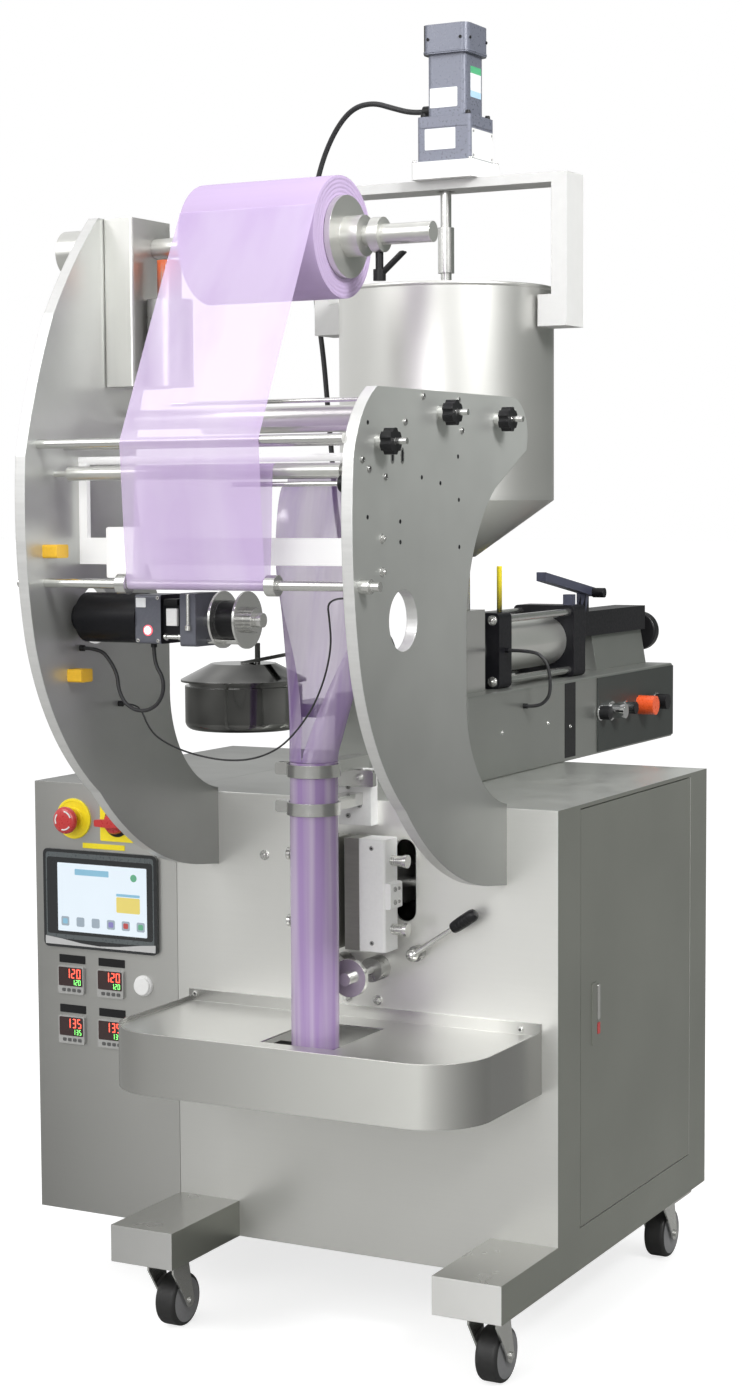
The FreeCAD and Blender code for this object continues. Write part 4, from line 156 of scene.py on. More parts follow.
def grained(tree, grain, detail):
    """The place on the piece and a noise over it."""
    where = add(tree, "TexCoord")
    scale = add(tree, "Mapping", Scale=grain)
    noise = add(tree, "TexNoise", Scale=1.0, Detail=detail)
    link(where.outputs["Object"], scale.inputs["Vector"])
    link(scale.outputs["Vector"], noise.inputs["Vector"])
    return where.outputs["Object"], noise.outputs["Fac"]


def shade(name, color, metallic=0.0, rough=0.45, grain=(40, 40, 40), depth=0.0, tone=0.06, gloss=0.06,
          coat=0.0, glow=None, glow_power=1.0, detail=4.0, edge=0.0, cloud=0.5, shading_ramps=(), spec=0.5):
    """A finish with its own tone variation, roughness variation, fine relief and eased edges.
    Its ramps, (axis, start, amount, end, amount) runs, dim or lift the tone along the piece: painted shade
    and painted highlight."""
    item, tree = blank(name)
    end = add(tree, "OutputMaterial")
    body = add(tree, "BsdfPrincipled", Metallic=metallic, Coat_Weight=coat, Coat_Roughness=0.08,
               Specular_IOR_Level=spec)
    spot, noise = grained(tree, grain, detail)
    wide = add(tree, "TexNoise", Scale=5.0, Detail=3.0)
    link(spot, wide.inputs["Vector"])
    blend = add(tree, "Math")
    blend.operation = "MULTIPLY_ADD"
    blend.inputs[1].default_value = 1 - cloud
    half = add(tree, "Math")
    half.operation = "MULTIPLY"
    half.inputs[1].default_value = cloud
    link(wide.outputs["Fac"], half.inputs[0])
    link(noise, blend.inputs[0])
    link(half.outputs[0], blend.inputs[2])
    source = tones(tree, blend.outputs[0], (0.35, [min(part * (1 - tone), 1) for part in color]),
                   (0.65, [min(part * (1 + tone), 1) for part in color]))
    if shading_ramps:
        apart = add(tree, "SeparateXYZ")
        link(spot, apart.inputs[0])
    for axis, start, first, stop, last in shading_ramps:
        along = add(tree, "MapRange", From_Min=start, From_Max=stop, To_Min=first, To_Max=last)
        link(apart.outputs[axis], along.inputs["Value"])
        toned = add(tree, "VectorMath")
        toned.operation = "SCALE"
        link(source, toned.inputs[0])
        link(along.outputs["Result"], toned.inputs["Scale"])
        source = toned.outputs[0]
    link(source, body.inputs["Base Color"])
    rough_range = add(tree, "MapRange", From_Min=0.3, From_Max=0.7, To_Min=max(rough - gloss, 0.02),
                      To_Max=min(rough + gloss, 1.0))
    link(noise, rough_range.inputs["Value"])
    link(rough_range.outputs["Result"], body.inputs["Roughness"])
    normal = None
    if edge:
        eased = add(tree, "Bevel")
        eased.samples = 4
        eased.inputs["Radius"].default_value = edge
        normal = eased.outputs["Normal"]
    if depth:
        relief = add(tree, "Bump", Strength=0.6, Distance=depth)
        link(noise, relief.inputs["Height"])
        if normal:
            link(normal, relief.inputs["Normal"])
        normal = relief.outputs["Normal"]
    if normal:
        link(normal, body.inputs["Normal"])
    if glow:
        body.inputs["Emission Color"].default_value = (*glow, 1)
        body.inputs["Emission Strength"].default_value = glow_power
    link(body.outputs[0], end.inputs["Surface"])
    return item


def film_shade(name, color, share, rise=0.3, edge=0.35, grain=(26, 5, 2.2), depth=0.004, rough=0.18,
               tone=0.12):
    """Thin tinted film: partly seen through, denser where it is seen at a low angle."""
    item, tree = blank(name)
    clear = add(tree, "BsdfTransparent", Color=(0.97, 0.94, 0.985, 1))
    body = add(tree, "BsdfPrincipled", Roughness=rough)
    noise = grained(tree, grain, 3.0)[1]
    r, g, b = color
    link(tones(tree, noise, (0.38, (r * (1 - tone), g * (1 - 1.4 * tone), b * (1 - 0.6 * tone))),
               (0.62, (min(r * (1 + tone / 2), 1), min(g * (1 + tone), 1), min(b * 1.03, 1)))),
         body.inputs["Base Color"])
    relief = add(tree, "Bump", Strength=0.5, Distance=depth)
    link(noise, relief.inputs["Height"])
    link(relief.outputs["Normal"], body.inputs["Normal"])
    facing = add(tree, "LayerWeight", Blend=edge)
    amount = add(tree, "MapRange", To_Min=share, To_Max=min(share + rise, 1))
    link(facing.outputs["Facing"], amount.inputs["Value"])
    mixed(tree, "OutputMaterial", amount.outputs["Result"], clear, body)
    return item


def lit_key(name, color, glow, power):
    """One lit patch on the touch screen."""
    return shade(name, color, 0.0, 0.25, (12, 12, 12), 0.0, 0.05, 0.03, glow=glow, glow_power=power)


EASE = 0.0012
FINE, FINER = (200, 200, 200), (300, 300, 300)
SHEET = {"edge": EASE, "cloud": 0.8, "detail": 2.0}
BRUSHED = (6, 6, 420)
# Darker to the left and towards the bottom, lighter to the right: painted shade and painted highlight on the
# sheet steel.
steel = shade("sheet_steel", (0.82, 0.82, 0.79), 0.74, 0.32, BRUSHED, 0.0, 0.02, 0.015, **SHEET,
              shading_ramps=(("X", -0.42, 0.44, -0.10, 0.97), ("X", -0.10, 1.06, 0.30, 1.12),
                    ("Z", 0.12, 0.86, 0.74, 1.06)))
# Darker to the left and towards the bottom, lighter towards the top: painted shade on the control cabinet's
# steel.
control_steel = shade("control_steel", (0.82, 0.82, 0.79), 0.74, 0.32, BRUSHED, 0.0, 0.02, 0.015, **SHEET,
                      shading_ramps=(("X", -0.42, 0.46, -0.15, 0.76), ("Z", 0.12, 0.80, 0.74, 1.08)))
# A darker steel copy for the cabinet tops, darker still to the left and lighter to the right: painted shade
# and painted highlight.
shaded_and_lit_top = shade("shaded_and_lit_top", (0.60, 0.61, 0.58), 0.78, 0.34, (20, 20, 20), 0.0, 0.04, 0.03, **SHEET,
                  shading_ramps=(("X", -0.42, 0.38, -0.1, 0.62), ("X", -0.1, 1.0, 0.35, 1.75)))
# A darker steel copy for the legs' tops, darker to the left: painted shade.
shaded_leg_top = shade("shaded_leg_top", (0.36, 0.36, 0.34), 0.8, 0.3, (20, 20, 20), 0.0, 0.05, 0.03, **SHEET,
                shading_ramps=(("X", -0.2, 0.72, 0.42, 1.12),))
# A darker steel copy for the tray's floor: painted shade.
shaded_tray_floor = shade("shaded_tray_floor", (0.55, 0.55, 0.53), 0.86, 0.3, (14, 14, 20), 0.0, 0.02, 0.0, cloud=0.8,
                   detail=1.0)
beam_paint = shade("beam_paint", (0.60, 0.60, 0.59), 0.0, 0.5, (60, 60, 60), 0.0, 0.03, 0.05, edge=0.001)
# A glow lifts the white bar behind the film: painted light.
glowing_white_bar = shade("glowing_white_bar", (0.84, 0.84, 0.83), 0.0, 0.5, (60, 60, 60), 0.0, 0.02, 0.05, edge=0.001,
                  glow=(1, 1, 1), glow_power=0.3)
# A lighter steel copy for the legs' fronts, darker to the left: painted highlight and painted shade.
lit_leg_front = shade("lit_leg_front", (0.74, 0.74, 0.72), 0.4, 0.4, (20, 20, 20), 0.0, 0.03, 0.02, **SHEET,
                  shading_ramps=(("X", -0.2, 0.55, 0.42, 1.08),))
# Dark polished pan with strong vertical tone streaks: painted reflections.
pan_painted_reflections = shade("pan_painted_reflections", (0.30, 0.30, 0.29), 1.0, 0.12, (9, 9, 0.4), 0.0, 0.85, 0.04, edge=0.001,
                   detail=2.0)
# A dark steel copy for the door and the other right-facing sides: painted shade.
shaded_side_steel = shade("shaded_side_steel", (0.34, 0.35, 0.315), 0.8, 0.36, BRUSHED, 0.0, 0.05, 0.02, **SHEET)
# Darker to the left: painted shade on the legs.
leg_steel = shade("leg_steel", (0.66, 0.66, 0.63), 0.8, 0.3, (20, 20, 20), 0.0, 0.04, 0.03, **SHEET,
                  shading_ramps=(("X", -0.2, 0.68, 0.42, 1.15),))
# Darker towards the bottom, lighter towards the top: painted shade and painted highlight on the side plates.
plate_steel = shade("plate_steel", (0.52, 0.53, 0.51), 0.66, 0.34, (14, 14, 20), 0.0, 0.06, 0.03,
                    edge=0.0018, cloud=0.8, detail=2.0, shading_ramps=(("Z", 0.62, 0.55, 1.35, 1.3),))
# A lighter steel for the side plates' front edges: painted highlight.
lit_plate_edge = shade("lit_plate_edge", (0.70, 0.70, 0.69), 0.5, 0.34, (14, 14, 200), 0.0, 0.05, 0.03, edge=0.0018)
# A dark steel copy for the filler base and cylinder cover: painted shade.
shaded_filler_steel = shade("shaded_filler_steel", (0.34, 0.35, 0.33), 0.78, 0.32, (40, 20, 40), 0.0, 0.05, 0.02, **SHEET)
# Lighter to the right along the front, then darker round the right corner and side: painted highlight and
# painted shade.
tray_steel = shade("tray_steel", (0.75, 0.75, 0.72), 0.88, 0.26, (14, 14, 20), 0.0, 0.02, 0.0, edge=0.001,
                   cloud=0.8, detail=1.0,
                   shading_ramps=(("X", -0.17, 0.46, 0.31, 1.3), ("X", 0.335, 1.0, 0.398, 0.36)))
bright_steel = shade("bright_steel", (0.72, 0.72, 0.70), 0.95, 0.2, (40, 60, 60), 0.0, 0.03, 0.02,
                     edge=0.0007, detail=2.0)
worn_steel = shade("worn_steel", (0.38, 0.38, 0.37), 0.9, 0.32, (90, 90, 90), 0.00002, 0.14, 0.08,
                   edge=0.0007)
# Much darker towards the bottom and a little darker to the right: painted shade on the hopper.
hopper_steel = shade("hopper_steel", (0.72, 0.72, 0.69), 0.85, 0.36, (3, 3, 12), 0.0, 0.02, 0.015,
                     edge=0.001, cloud=0.8, detail=2.0,
                     shading_ramps=(("Z", 1.085, 0.24, 1.175, 1.0), ("X", 0.16, 1.06, 0.275, 0.8)))
satin_aluminium = shade("satin_aluminium", (0.70, 0.70, 0.67), 0.8, 0.3, (60, 12, 12), 0.0, 0.03, 0.02,
                        edge=0.0009, detail=2.0)
# A faint glow lifts the white paint: painted light.
white_paint = shade("white_paint", (0.74, 0.74, 0.73), 0.0, 0.45, (240, 240, 240), 0.00001, 0.03, 0.06,
                    edge=0.0009, glow=(1, 1, 1), glow_power=0.05)
black_plastic = shade("black_plastic", (0.009, 0.009, 0.010), 0.0, 0.4, (500, 500, 500), 0.00004, 0.2,
                      0.08, edge=0.0007, spec=0.3)
black_cord = shade("black_cord", (0.02, 0.02, 0.022), 0.0, 0.5, (700, 700, 700), 0.00002, 0.2, 0.06)
dark_paint = shade("dark_paint", (0.007, 0.007, 0.009), 0.0, 0.38, (220, 220, 220), 0.00002, 0.25, 0.08,
                   edge=EASE, spec=0.22)
panel_dark = shade("panel_dark", (0.035, 0.04, 0.037), 0.1, 0.42, (900, 900, 900), 0.00003, 0.5, 0.08,
                   edge=0.0009, cloud=0.1)
grey_paint = shade("grey_paint", (0.17, 0.18, 0.225), 0.15, 0.32, (260, 260, 260), 0.00004, 0.10, 0.08,
                   edge=EASE)
red_plastic = shade("red_plastic", (0.52, 0.035, 0.035), 0.0, 0.3, FINER, 0.00002, 0.08, 0.06,
                    coat=0.3, edge=0.0006)
yellow_plastic = shade("yellow_plastic", (0.92, 0.76, 0.02), 0.0, 0.38, FINER, 0.00001, 0.05,
                       0.06, edge=0.0006)
sensor_yellow = shade("sensor_yellow", (0.86, 0.50, 0.03), 0.0, 0.4, FINER, 0.00002, 0.06, 0.06,
                      edge=0.0006)
orange_red = shade("orange_red", (0.80, 0.10, 0.02), 0.0, 0.3, FINER, 0.00001, 0.06, 0.06,
                   coat=0.3, edge=0.0006)
rubber = shade("black_rubber", (0.022, 0.022, 0.022), 0.0, 0.5, (160, 160, 160), 0.00008, 0.25, 0.1,
               edge=0.001)
screen_dark = shade("screen_bezel", (0.018, 0.02, 0.022), 0.0, 0.2, FINER, 0.00001, 0.15, 0.05,
                    coat=0.4, edge=0.0007)
label_white = shade("blank_label", (0.82, 0.83, 0.84), 0.0, 0.45, FINE, 0.00001, 0.03, 0.05)
label_green = shade("green_label", (0.10, 0.45, 0.22), 0.0, 0.45, FINE, 0.00001, 0.05, 0.05)
label_blue = shade("blue_label", (0.45, 0.66, 0.82), 0.0, 0.45, FINE, 0.00001, 0.05, 0.05)
orange_band = shade("orange_band", (0.75, 0.14, 0.03), 0.0, 0.4, FINE, 0.00001, 0.12, 0.05)
display = shade("lit_display", (0.55, 0.62, 0.68), 0.0, 0.25, (12, 12, 12), 0.0, 0.02, 0.03,
                glow=(0.85, 0.93, 1.0), glow_power=0.34)
display_bar = lit_key("display_bar", (0.22, 0.42, 0.55), (0.3, 0.6, 0.8), 0.2)
display_key = lit_key("display_key", (0.60, 0.50, 0.14), (0.9, 0.75, 0.2), 0.25)
display_red = lit_key("display_red_key", (0.45, 0.08, 0.08), (0.8, 0.15, 0.1), 0.1)
display_green = lit_key("display_green_key", (0.12, 0.36, 0.22), (0.2, 0.6, 0.35), 0.12)
meter_glass = shade("meter_glass", (0.03, 0.012, 0.012), 0.0, 0.16, FINE, 0.0, 0.2, 0.04,
                    coat=0.5)
digit_red = shade("red_digits", (0.9, 0.08, 0.05), 0.0, 0.4, (80, 80, 80), 0.0, 0.05, 0.05,
                  glow=(1.0, 0.10, 0.06), glow_power=2.2)
digit_green = shade("green_digits", (0.2, 0.9, 0.2), 0.0, 0.4, (80, 80, 80), 0.0, 0.05, 0.05,
                    glow=(0.25, 1.0, 0.2), glow_power=1.6)
# A faint glow flattens the roll's shading: painted light.
roll_film = shade("roll_film", (0.47, 0.37, 0.555), 0.0, 0.7, (3, 160, 160), 0.00003, 0.03, 0.04,
                  glow=(0.80, 0.62, 0.92), glow_power=0.06, spec=0.15)
web_film = film_shade("web_film", (0.63, 0.51, 0.735), 0.60, 0.25, 0.35, (11, 7, 4), 0.003, 0.22, 0.08)
# Strong vertical tone streaks round the film tube: painted highlights.
tube_film = film_shade("tube_film", (0.50, 0.38, 0.60), 0.86, 0.14, 0.3, (60, 60, 1.2), 0.002, 0.16, 0.2)

bezel_grey = shade("bezel_grey", (0.10, 0.115, 0.12), 0.1, 0.3, FINER, 0.0, 0.1, 0.05, coat=0.3)
trim_silver = shade("trim_silver", (0.58, 0.58, 0.58), 0.3, 0.4, (8, 8, 8), 0.0, 0.01, 0.0)
trim_grey = shade("trim_grey", (0.42, 0.42, 0.41), 0.3, 0.4, FINE, 0.00001, 0.06, 0.05)
display_grey = lit_key("display_grey_key", (0.30, 0.36, 0.42), (0.55, 0.65, 0.75), 0.12)
display_violet = lit_key("display_violet_key", (0.22, 0.2, 0.45), (0.4, 0.35, 0.8), 0.12)
display_dark = shade("meter_keys", (0.09, 0.09, 0.09), 0.0, 0.4, FINE, 0.0, 0.1, 0.05)
chrome_trim = shade("chrome_trim", (0.75, 0.75, 0.75), 1.0, 0.08, (90, 90, 90), 0.0, 0.03, 0.03,
                    edge=0.0005)
coder_grey = shade("coder_grey", (0.12, 0.125, 0.15), 0.25, 0.38, (260, 260, 260), 0.00002, 0.1, 0.06,
                   edge=0.0008)
linkage_paint = shade("linkage_paint", (0.06, 0.065, 0.10), 0.2, 0.34, FINE, 0.00002, 0.12,
                      0.06, edge=0.0008)
ribbon_black = shade("ribbon_black", (0.008, 0.008, 0.009), 0.0, 0.35, (40, 900, 900), 0.0, 0.2, 0.06,
                     spec=0.25)
jaw_side = shade("jaw_side", (0.30, 0.30, 0.27), 0.5, 0.4, (30, 30, 200), 0.00001, 0.08, 0.06, edge=0.0008)
core_card = shade("core_card", (0.45, 0.33, 0.22), 0.0, 0.7, FINE, 0.00003, 0.1, 0.05)
hub_grey = shade("hub_grey", (0.30, 0.30, 0.31), 0.2, 0.45, FINE, 0.00003, 0.1, 0.06,
                 edge=0.0008)
lamp_red = shade("lamp_red", (0.85, 0.1, 0.12), 0.0, 0.35, FINE, 0.0, 0.05, 0.05,
                 glow=(1.0, 0.15, 0.2), glow_power=0.8)
lamp_white = shade("lamp_white", (0.95, 0.93, 0.93), 0.0, 0.3, FINE, 0.0, 0.03, 0.05,
                   glow=(1.0, 0.95, 0.95), glow_power=0.6)
# A darker copy of the film, with strong tone streaks along the fall: painted shade and painted highlights.
shaded_fall_film = film_shade("shaded_fall_film", (0.46, 0.34, 0.58), 0.66, 0.3, 0.35, (30, 8, 2.5), 0.004, 0.14, 0.28)

NODE_SHADES = {
    "control_cabinet": control_steel, "main_cabinet": steel, "front_plate": steel, "side_door": shaded_side_steel,
    "skid_legs": leg_steel, "caster_plates": bright_steel, "front_tray": tray_steel,
    "selector_switch": black_plastic, "side_plate_left": plate_steel, "side_plate_right": plate_steel,
    "cross_bars": bright_steel, "film_rollers": satin_aluminium, "sensor_bar": glowing_white_bar,
    "plate_knobs": black_plastic, "edge_sensors": sensor_yellow, "roll_clamp": black_plastic,
    "unwind_motor": worn_steel, "coder_spools": bright_steel, "cord_glands": black_plastic,
    "brake_hub": satin_aluminium, "roll_shaft": satin_aluminium,
    "unwind_housing": satin_aluminium, "tube_rings": bright_steel,
    "vertical_jaw_right": white_paint, "vertical_jaw_left": white_paint,
    "pull_wheel_right": bright_steel, "pull_wheel_left": bright_steel, "front_bosses": worn_steel,
    "cross_jaws": dark_paint, "filler_base": shaded_filler_steel,
    "filler_panel": panel_dark, "cylinder_cover": shaded_filler_steel, "volume_knob": black_plastic,
    "filler_cylinder": dark_paint, "valve_body": bright_steel, "hopper": hopper_steel,
    "stirrer_beam": beam_paint, "stirrer_drive": grey_paint, "stirrer": bright_steel,
    "round_pan": pan_painted_reflections, "date_coder": dark_paint,
}
for name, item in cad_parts.items():
    if name.startswith("caster_fork"):
        finish = bright_steel
    elif name.startswith("caster_wheel"):
        finish = rubber
    else:
        finish = NODE_SHADES.get(name, steel)
    item.data.materials.clear()
    item.data.materials.append(finish)


def paint(name, looks, pick):
    """More finishes on one solid piece, picked by each face's place in millimetres off the cabinet corner."""
    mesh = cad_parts[name].data
    for look in looks:
        mesh.materials.append(look)
    for face in mesh.polygons:
        x, y, z = face.center * 1000 + Vector((MIDDLE_X, MIDDLE_Y, -CASTER_HEIGHT))
        face.material_index = pick(x, y, z)


# Cords
def run(name, points, thick):
    """A cord through its route points, in millimetres off the cabinet corner; its length is in metres."""
    curve = bpy.data.curves.new(name, "CURVE")
    curve.dimensions = "3D"
    curve.bevel_depth = thick / 2000
    curve.bevel_resolution = 4
    curve.use_fill_caps = True
    line = curve.splines.new("NURBS")
    line.points.add(len(points) - 1)
    for knot, place in zip(line.points, points):
        knot.co = (*at(*place), 1)
    line.order_u = 3
    line.use_endpoint_u = True
    line.resolution_u = 8
    item = put("cord_" + name, curve)
    curve.materials.append(black_cord)
    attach(item, "machine")
    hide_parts(name)
    return item


run("stirrer_cable", [
    (505, 297, 1626), (485, 297, 1626), (452, 299, 1636), (416, 305, 1648), (376, 314, 1644),
    (340, 326, 1616), (309, 338, 1570), (290, 345, 1512), (287, 346, 1440), (295, 344, 1360),
    (306, 346, 1280), (314, 344, 1200), (320, 346, 1120), (327, 344, 1040), (337, 346, 980),
    (352, 344, 920), (388, 345, 877), (430, 345, 840), (430, 345, 787)], 8)
run("coder_cable", [
    (438, -345, 873), (438, -345, 853), (451, -345, 835), (451, -344, 816), (442, -344, 800),
    (425, -343, 791), (407, -343, 791), (390, -342, 800), (381, -342, 817), (379, -341, 835),
    (369, -340, 852), (351, -338, 869), (326, -338, 869)], 5)
run("sensor_wire", [
    (326, -250, 790), (346, -250, 790), (364, -261, 781), (381, -275, 765), (401, -284, 751),
    (436, -296, 740), (480, -311, 733), (530, -326, 730), (580, -342, 735), (626, -357, 751),
    (661, -370, 777), (689, -379, 808), (709, -385, 845), (721, -391, 883), (724, -400, 913),
    (726, -411, 942), (752, -411, 942)], 2.4)
run("filler_hose", [
    (597, 392.5, 831), (637, 392.5, 831), (652, 394, 822), (661, 397, 806), (661, 403, 770),
    (652, 407, 755), (637, 408.5, 746), (620, 408.5, 746)], 5.4)


# Shaped pieces
def upright(axis, u, v, along):
    """A place from two coordinates across an axis and one along it."""
    return Vector({"x": (along, u, v), "y": (u, along, v), "z": (u, v, along)}[axis])


def circle(solid, middle, side, cross, radius, sides):
    """Vertices round a circle, or one in the middle where the radius is nothing."""
    if radius <= 0:
        return [solid.verts.new(middle)]
    return [solid.verts.new(middle + (side * math.cos(step) + cross * math.sin(step)) * radius)
            for step in (math.tau * number / sides for number in range(sides))]


def bands(solid, rings, closed=True):
    """Faces from each ring of vertices to the next; a ring of one vertex is a point."""
    for near, far in zip(rings, rings[1:]):
        count = max(len(near), len(far))
        for number in range(count if closed else count - 1):
            after = (number + 1) % count
            if len(near) == 1:
                solid.faces.new((near[0], far[number], far[after]))
            elif len(far) == 1:
                solid.faces.new((near[number], near[after], far[0]))
            else:
                solid.faces.new((near[number], near[after], far[after], far[number]))


class Build:
    """One mesh grown from shaped solids, in millimetres off the cabinet corner."""

    def __init__(self):
        self.mesh = bmesh.new()
        self.looks = []

    def take(self, solid, look, ease=0.0, steps=2):
        if ease:
            sharp = [edge for edge in solid.edges
                     if len(edge.link_faces) == 2 and edge.calc_face_angle() > math.radians(25)]
            bmesh.ops.bevel(solid, geom=sharp, offset=ease, segments=steps, affect="EDGES",
                            profile=0.6, clamp_overlap=True)
        bmesh.ops.recalc_face_normals(solid, faces=solid.faces)
        if look not in self.looks:
            self.looks.append(look)
        for face in solid.faces:
            face.material_index = self.looks.index(look)
        data = bpy.data.meshes.new("grown")
        solid.to_mesh(data)
        solid.free()
        self.mesh.from_mesh(data)
        bpy.data.meshes.remove(data)

    def block(self, low, high, look, ease):
        solid = bmesh.new()
        bmesh.ops.create_cube(solid, size=1)
        for vertex in solid.verts:
            vertex.co = Vector([a if c < 0 else b for a, b, c in zip(low, high, vertex.co)])
        self.take(solid, look, ease)

    def prism(self, axis, outline, low, high, look, ease=0.5, steps=2):
        solid = bmesh.new()
        near, far = ([solid.verts.new(upright(axis, u, v, along)) for u, v in outline]
                     for along in (low, high))
        solid.faces.new(near)
        solid.faces.new(far[::-1])
        bands(solid, (near, far))
        self.take(solid, look, ease, steps)

    def spin(self, start, way, profile, look, sides=36):
        """A profile of (along, radius) pairs turned round a line."""
        way = Vector(way).normalized()
        side = way.orthogonal().normalized()
        cross = way.cross(side)
        solid = bmesh.new()
        rings = [circle(solid, Vector(start) + way * along, side, cross, radius, sides)
                 for along, radius in profile]
        bands(solid, rings)
        for end in (rings[0], rings[-1]):
            if len(end) > 1:
                solid.faces.new(end)
        self.take(solid, look)

    def rod(self, start, end, radius, look, sides=24, ease=0.5):
        start, end = Vector(start), Vector(end)
        length = (end - start).length
        self.spin(start, end - start, [(0, radius - ease), (ease, radius), (length - ease, radius),
                                       (length, radius - ease)], look, sides)

    def sweep(self, points, radius, look, sides=8):
        """A round wire along points."""
        points = [Vector(place) for place in points]
        solid = bmesh.new()
        side = (points[1] - points[0]).orthogonal().normalized()
        rings = []
        for index, place in enumerate(points):
            way = (points[min(index + 1, len(points) - 1)] - points[max(index - 1, 0)]).normalized()
            side = (side - way * side.dot(way)).normalized()
            cross = way.cross(side)
            rings.append(circle(solid, place, side, cross, radius, sides))
        bands(solid, rings)
        solid.faces.new(rings[0])
        solid.faces.new(rings[-1][::-1])
        self.take(solid, look)

    def spring(self, start, end, coil, wire, turns, look):
        start, end = Vector(start), Vector(end)
        way = (end - start).normalized()
        side = way.orthogonal().normalized()
        cross = way.cross(side)
        per_turn = 16
        count = int(turns * per_turn)
        self.sweep([start + (end - start) * number / count
                    + (side * math.cos(math.tau * number / per_turn)
                       + cross * math.sin(math.tau * number / per_turn)) * coil
                    for number in range(count + 1)], wire, look)

    def screw(self, place, way, radius, rise, look):
        """A round head with a socket sunk in it."""
        self.spin(place, way, [(0, radius * 0.96), (rise * 0.3, radius), (rise * 0.75, radius * 0.94),
                               (rise, radius * 0.78), (rise, radius * 0.46), (rise * 0.35, radius * 0.42),
                               (rise * 0.35, 0)], look, 20)
        way = Vector(way).normalized()
        self.spin(Vector(place) + way * rise * 0.36, way, [(0, radius * 0.4), (rise * 0.08, radius * 0.4),
                                                          (rise * 0.08, 0)], black_plastic, 6)

    def nut(self, place, way, radius, rise, look):
        """A hexagon nut on its washer, with the thread's end in it."""
        way = Vector(way).normalized()
        place = Vector(place)
        self.spin(place, way, [(0, radius * 1.35), (rise * 0.2, radius * 1.35), (rise * 0.25, radius * 1.28),
                               (rise * 0.25, 0)], look, 24)
        self.spin(place + way * rise * 0.2, way, [
            (0, radius), (rise * 0.65, radius), (rise * 0.8, radius * 0.86), (rise * 0.8, 0)], look, 6)
        self.spin(place + way * rise, way, [
            (0, radius * 0.55), (rise * 0.25, radius * 0.5), (rise * 0.25, 0)], look, 16)

    def done(self, name, body="machine", stands_for=()):
        data = bpy.data.meshes.new(name)
        self.mesh.to_mesh(data)
        self.mesh.free()
        for vertex in data.vertices:
            vertex.co = at(*vertex.co)
        for look in self.looks:
            data.materials.append(look)
        for face in data.polygons:
            face.use_smooth = True
        data.set_sharp_from_angle(angle=math.radians(35))
        item = put(name, data)
        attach(item, body)
        if stands_for:
            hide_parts(*stands_for)
        return item


def rounded(u0, u1, v0, v1, corner, steps=6):
    """The outline of a rectangle with round corners."""
    spots = []
    for cu, cv, first in ((u1 - corner, v0 + corner, -90), (u1 - corner, v1 - corner, 0),
                          (u0 + corner, v1 - corner, 90), (u0 + corner, v0 + corner, 180)):
        for number in range(steps + 1):
            angle = math.radians(first + 90 * number / steps)
            spots.append((cu + corner * math.cos(angle), cv + corner * math.sin(angle)))
    return spots


BARS = {"0": "abcdef", "1": "bc", "2": "abged", "3": "abgcd", "5": "afgcd"}


def digits(piece, text, right, low, height, front, look):
    """Seven-bar figures on a face that looks to the front, ending at the right."""
    wide = height * 0.5
    bar = height * 0.11
    for number, figure in enumerate(reversed(text)):
        x1 = right - number * (wide + bar * 1.6)
        x0 = x1 - wide
        middle = low + height / 2
        spots = {"a": (x0 + bar, x1 - bar, low + height - bar, low + height),
                 "b": (x1 - bar, x1, middle, low + height), "c": (x1 - bar, x1, low, middle),
                 "d": (x0 + bar, x1 - bar, low, low + bar), "e": (x0, x0 + bar, low, middle),
                 "f": (x0, x0 + bar, middle, low + height),
                 "g": (x0 + bar, x1 - bar, middle - bar / 2, middle + bar / 2)}
        for key in BARS[figure]:
            a, b, c, d = spots[key]
            cut = bar * 0.45
            outline = [(a + cut, c), (b - cut, c), (b, c + cut), (b, d - cut), (b - cut, d), (a + cut, d),
                       (a, d - cut), (a, c + cut)]
            piece.prism("y", outline, front - 0.12, front, look, 0)


# Places that several pieces share, in millimetres off the cabinet corner. The cabinets' side and top are
# given just inside the face, to tell which faces lie there
RIGHT_SIDE, CABINET_TOP, DOOR_FACE = 847.9, 644.9, 848.9
SPOOL_Y, SPOOL_Z = -340, 910
LEVER_X, LEVER_Z = 640, 438
STOP = (70, 0, 592)
KNOB = (147, 0, 591)
FORWARD = (0, -1, 0)
PLATE_FACE = 772.9
FILLER_FACE = 613.9
FILM_LEFT, FILM_WIDTH = 446.5, 199
ROLL_Y, ROLL_Z = -215, 1390
TUBE_X, TUBE_Y, TUBE_RADIUS = 552, -135, 32.9
TUBE_TOP, TUBE_LOW = 711.6, 326.2

# How finely the film is divided
ACROSS, FALL_ROWS, HALF_FALL, TUBE_ROWS, TUBE_SIDES = 40, 48, 36, 56, 72

# Touch panel
panel = Build()
panel.prism("y", rounded(17, 217, 399, 546, 8), -6, -0.2, screen_dark, 1.2, 3)
panel.prism("y", rounded(22, 212, 412, 541, 5), -6.25, -5.9, bezel_grey, 0.1)
panel.prism("y", rounded(24, 210, 419, 534, 4), -6.4, -6.0, screen_dark, 0.1)
panel.prism("y", [(20, 403), (214, 403), (214, 414), (190, 412), (150, 407), (117, 405), (84, 407),
                  (48, 412), (20, 415)], -6.35, -6.0, trim_silver, 0.1)
panel.prism("y", rounded(43, 200, 424, 526, 1.5), -6.5, -6.2, display, 0.08)
for box, look in (((74, 134, 509, 518, 1), display_bar), ((147, 188, 458, 481, 2), display_key),
                  ((147, 188, 482, 486, 1), display_bar), ((172, 183, 505, 516, 5.4), display_green)):
    panel.prism("y", rounded(*box), -6.6, -6.45, look, 0)
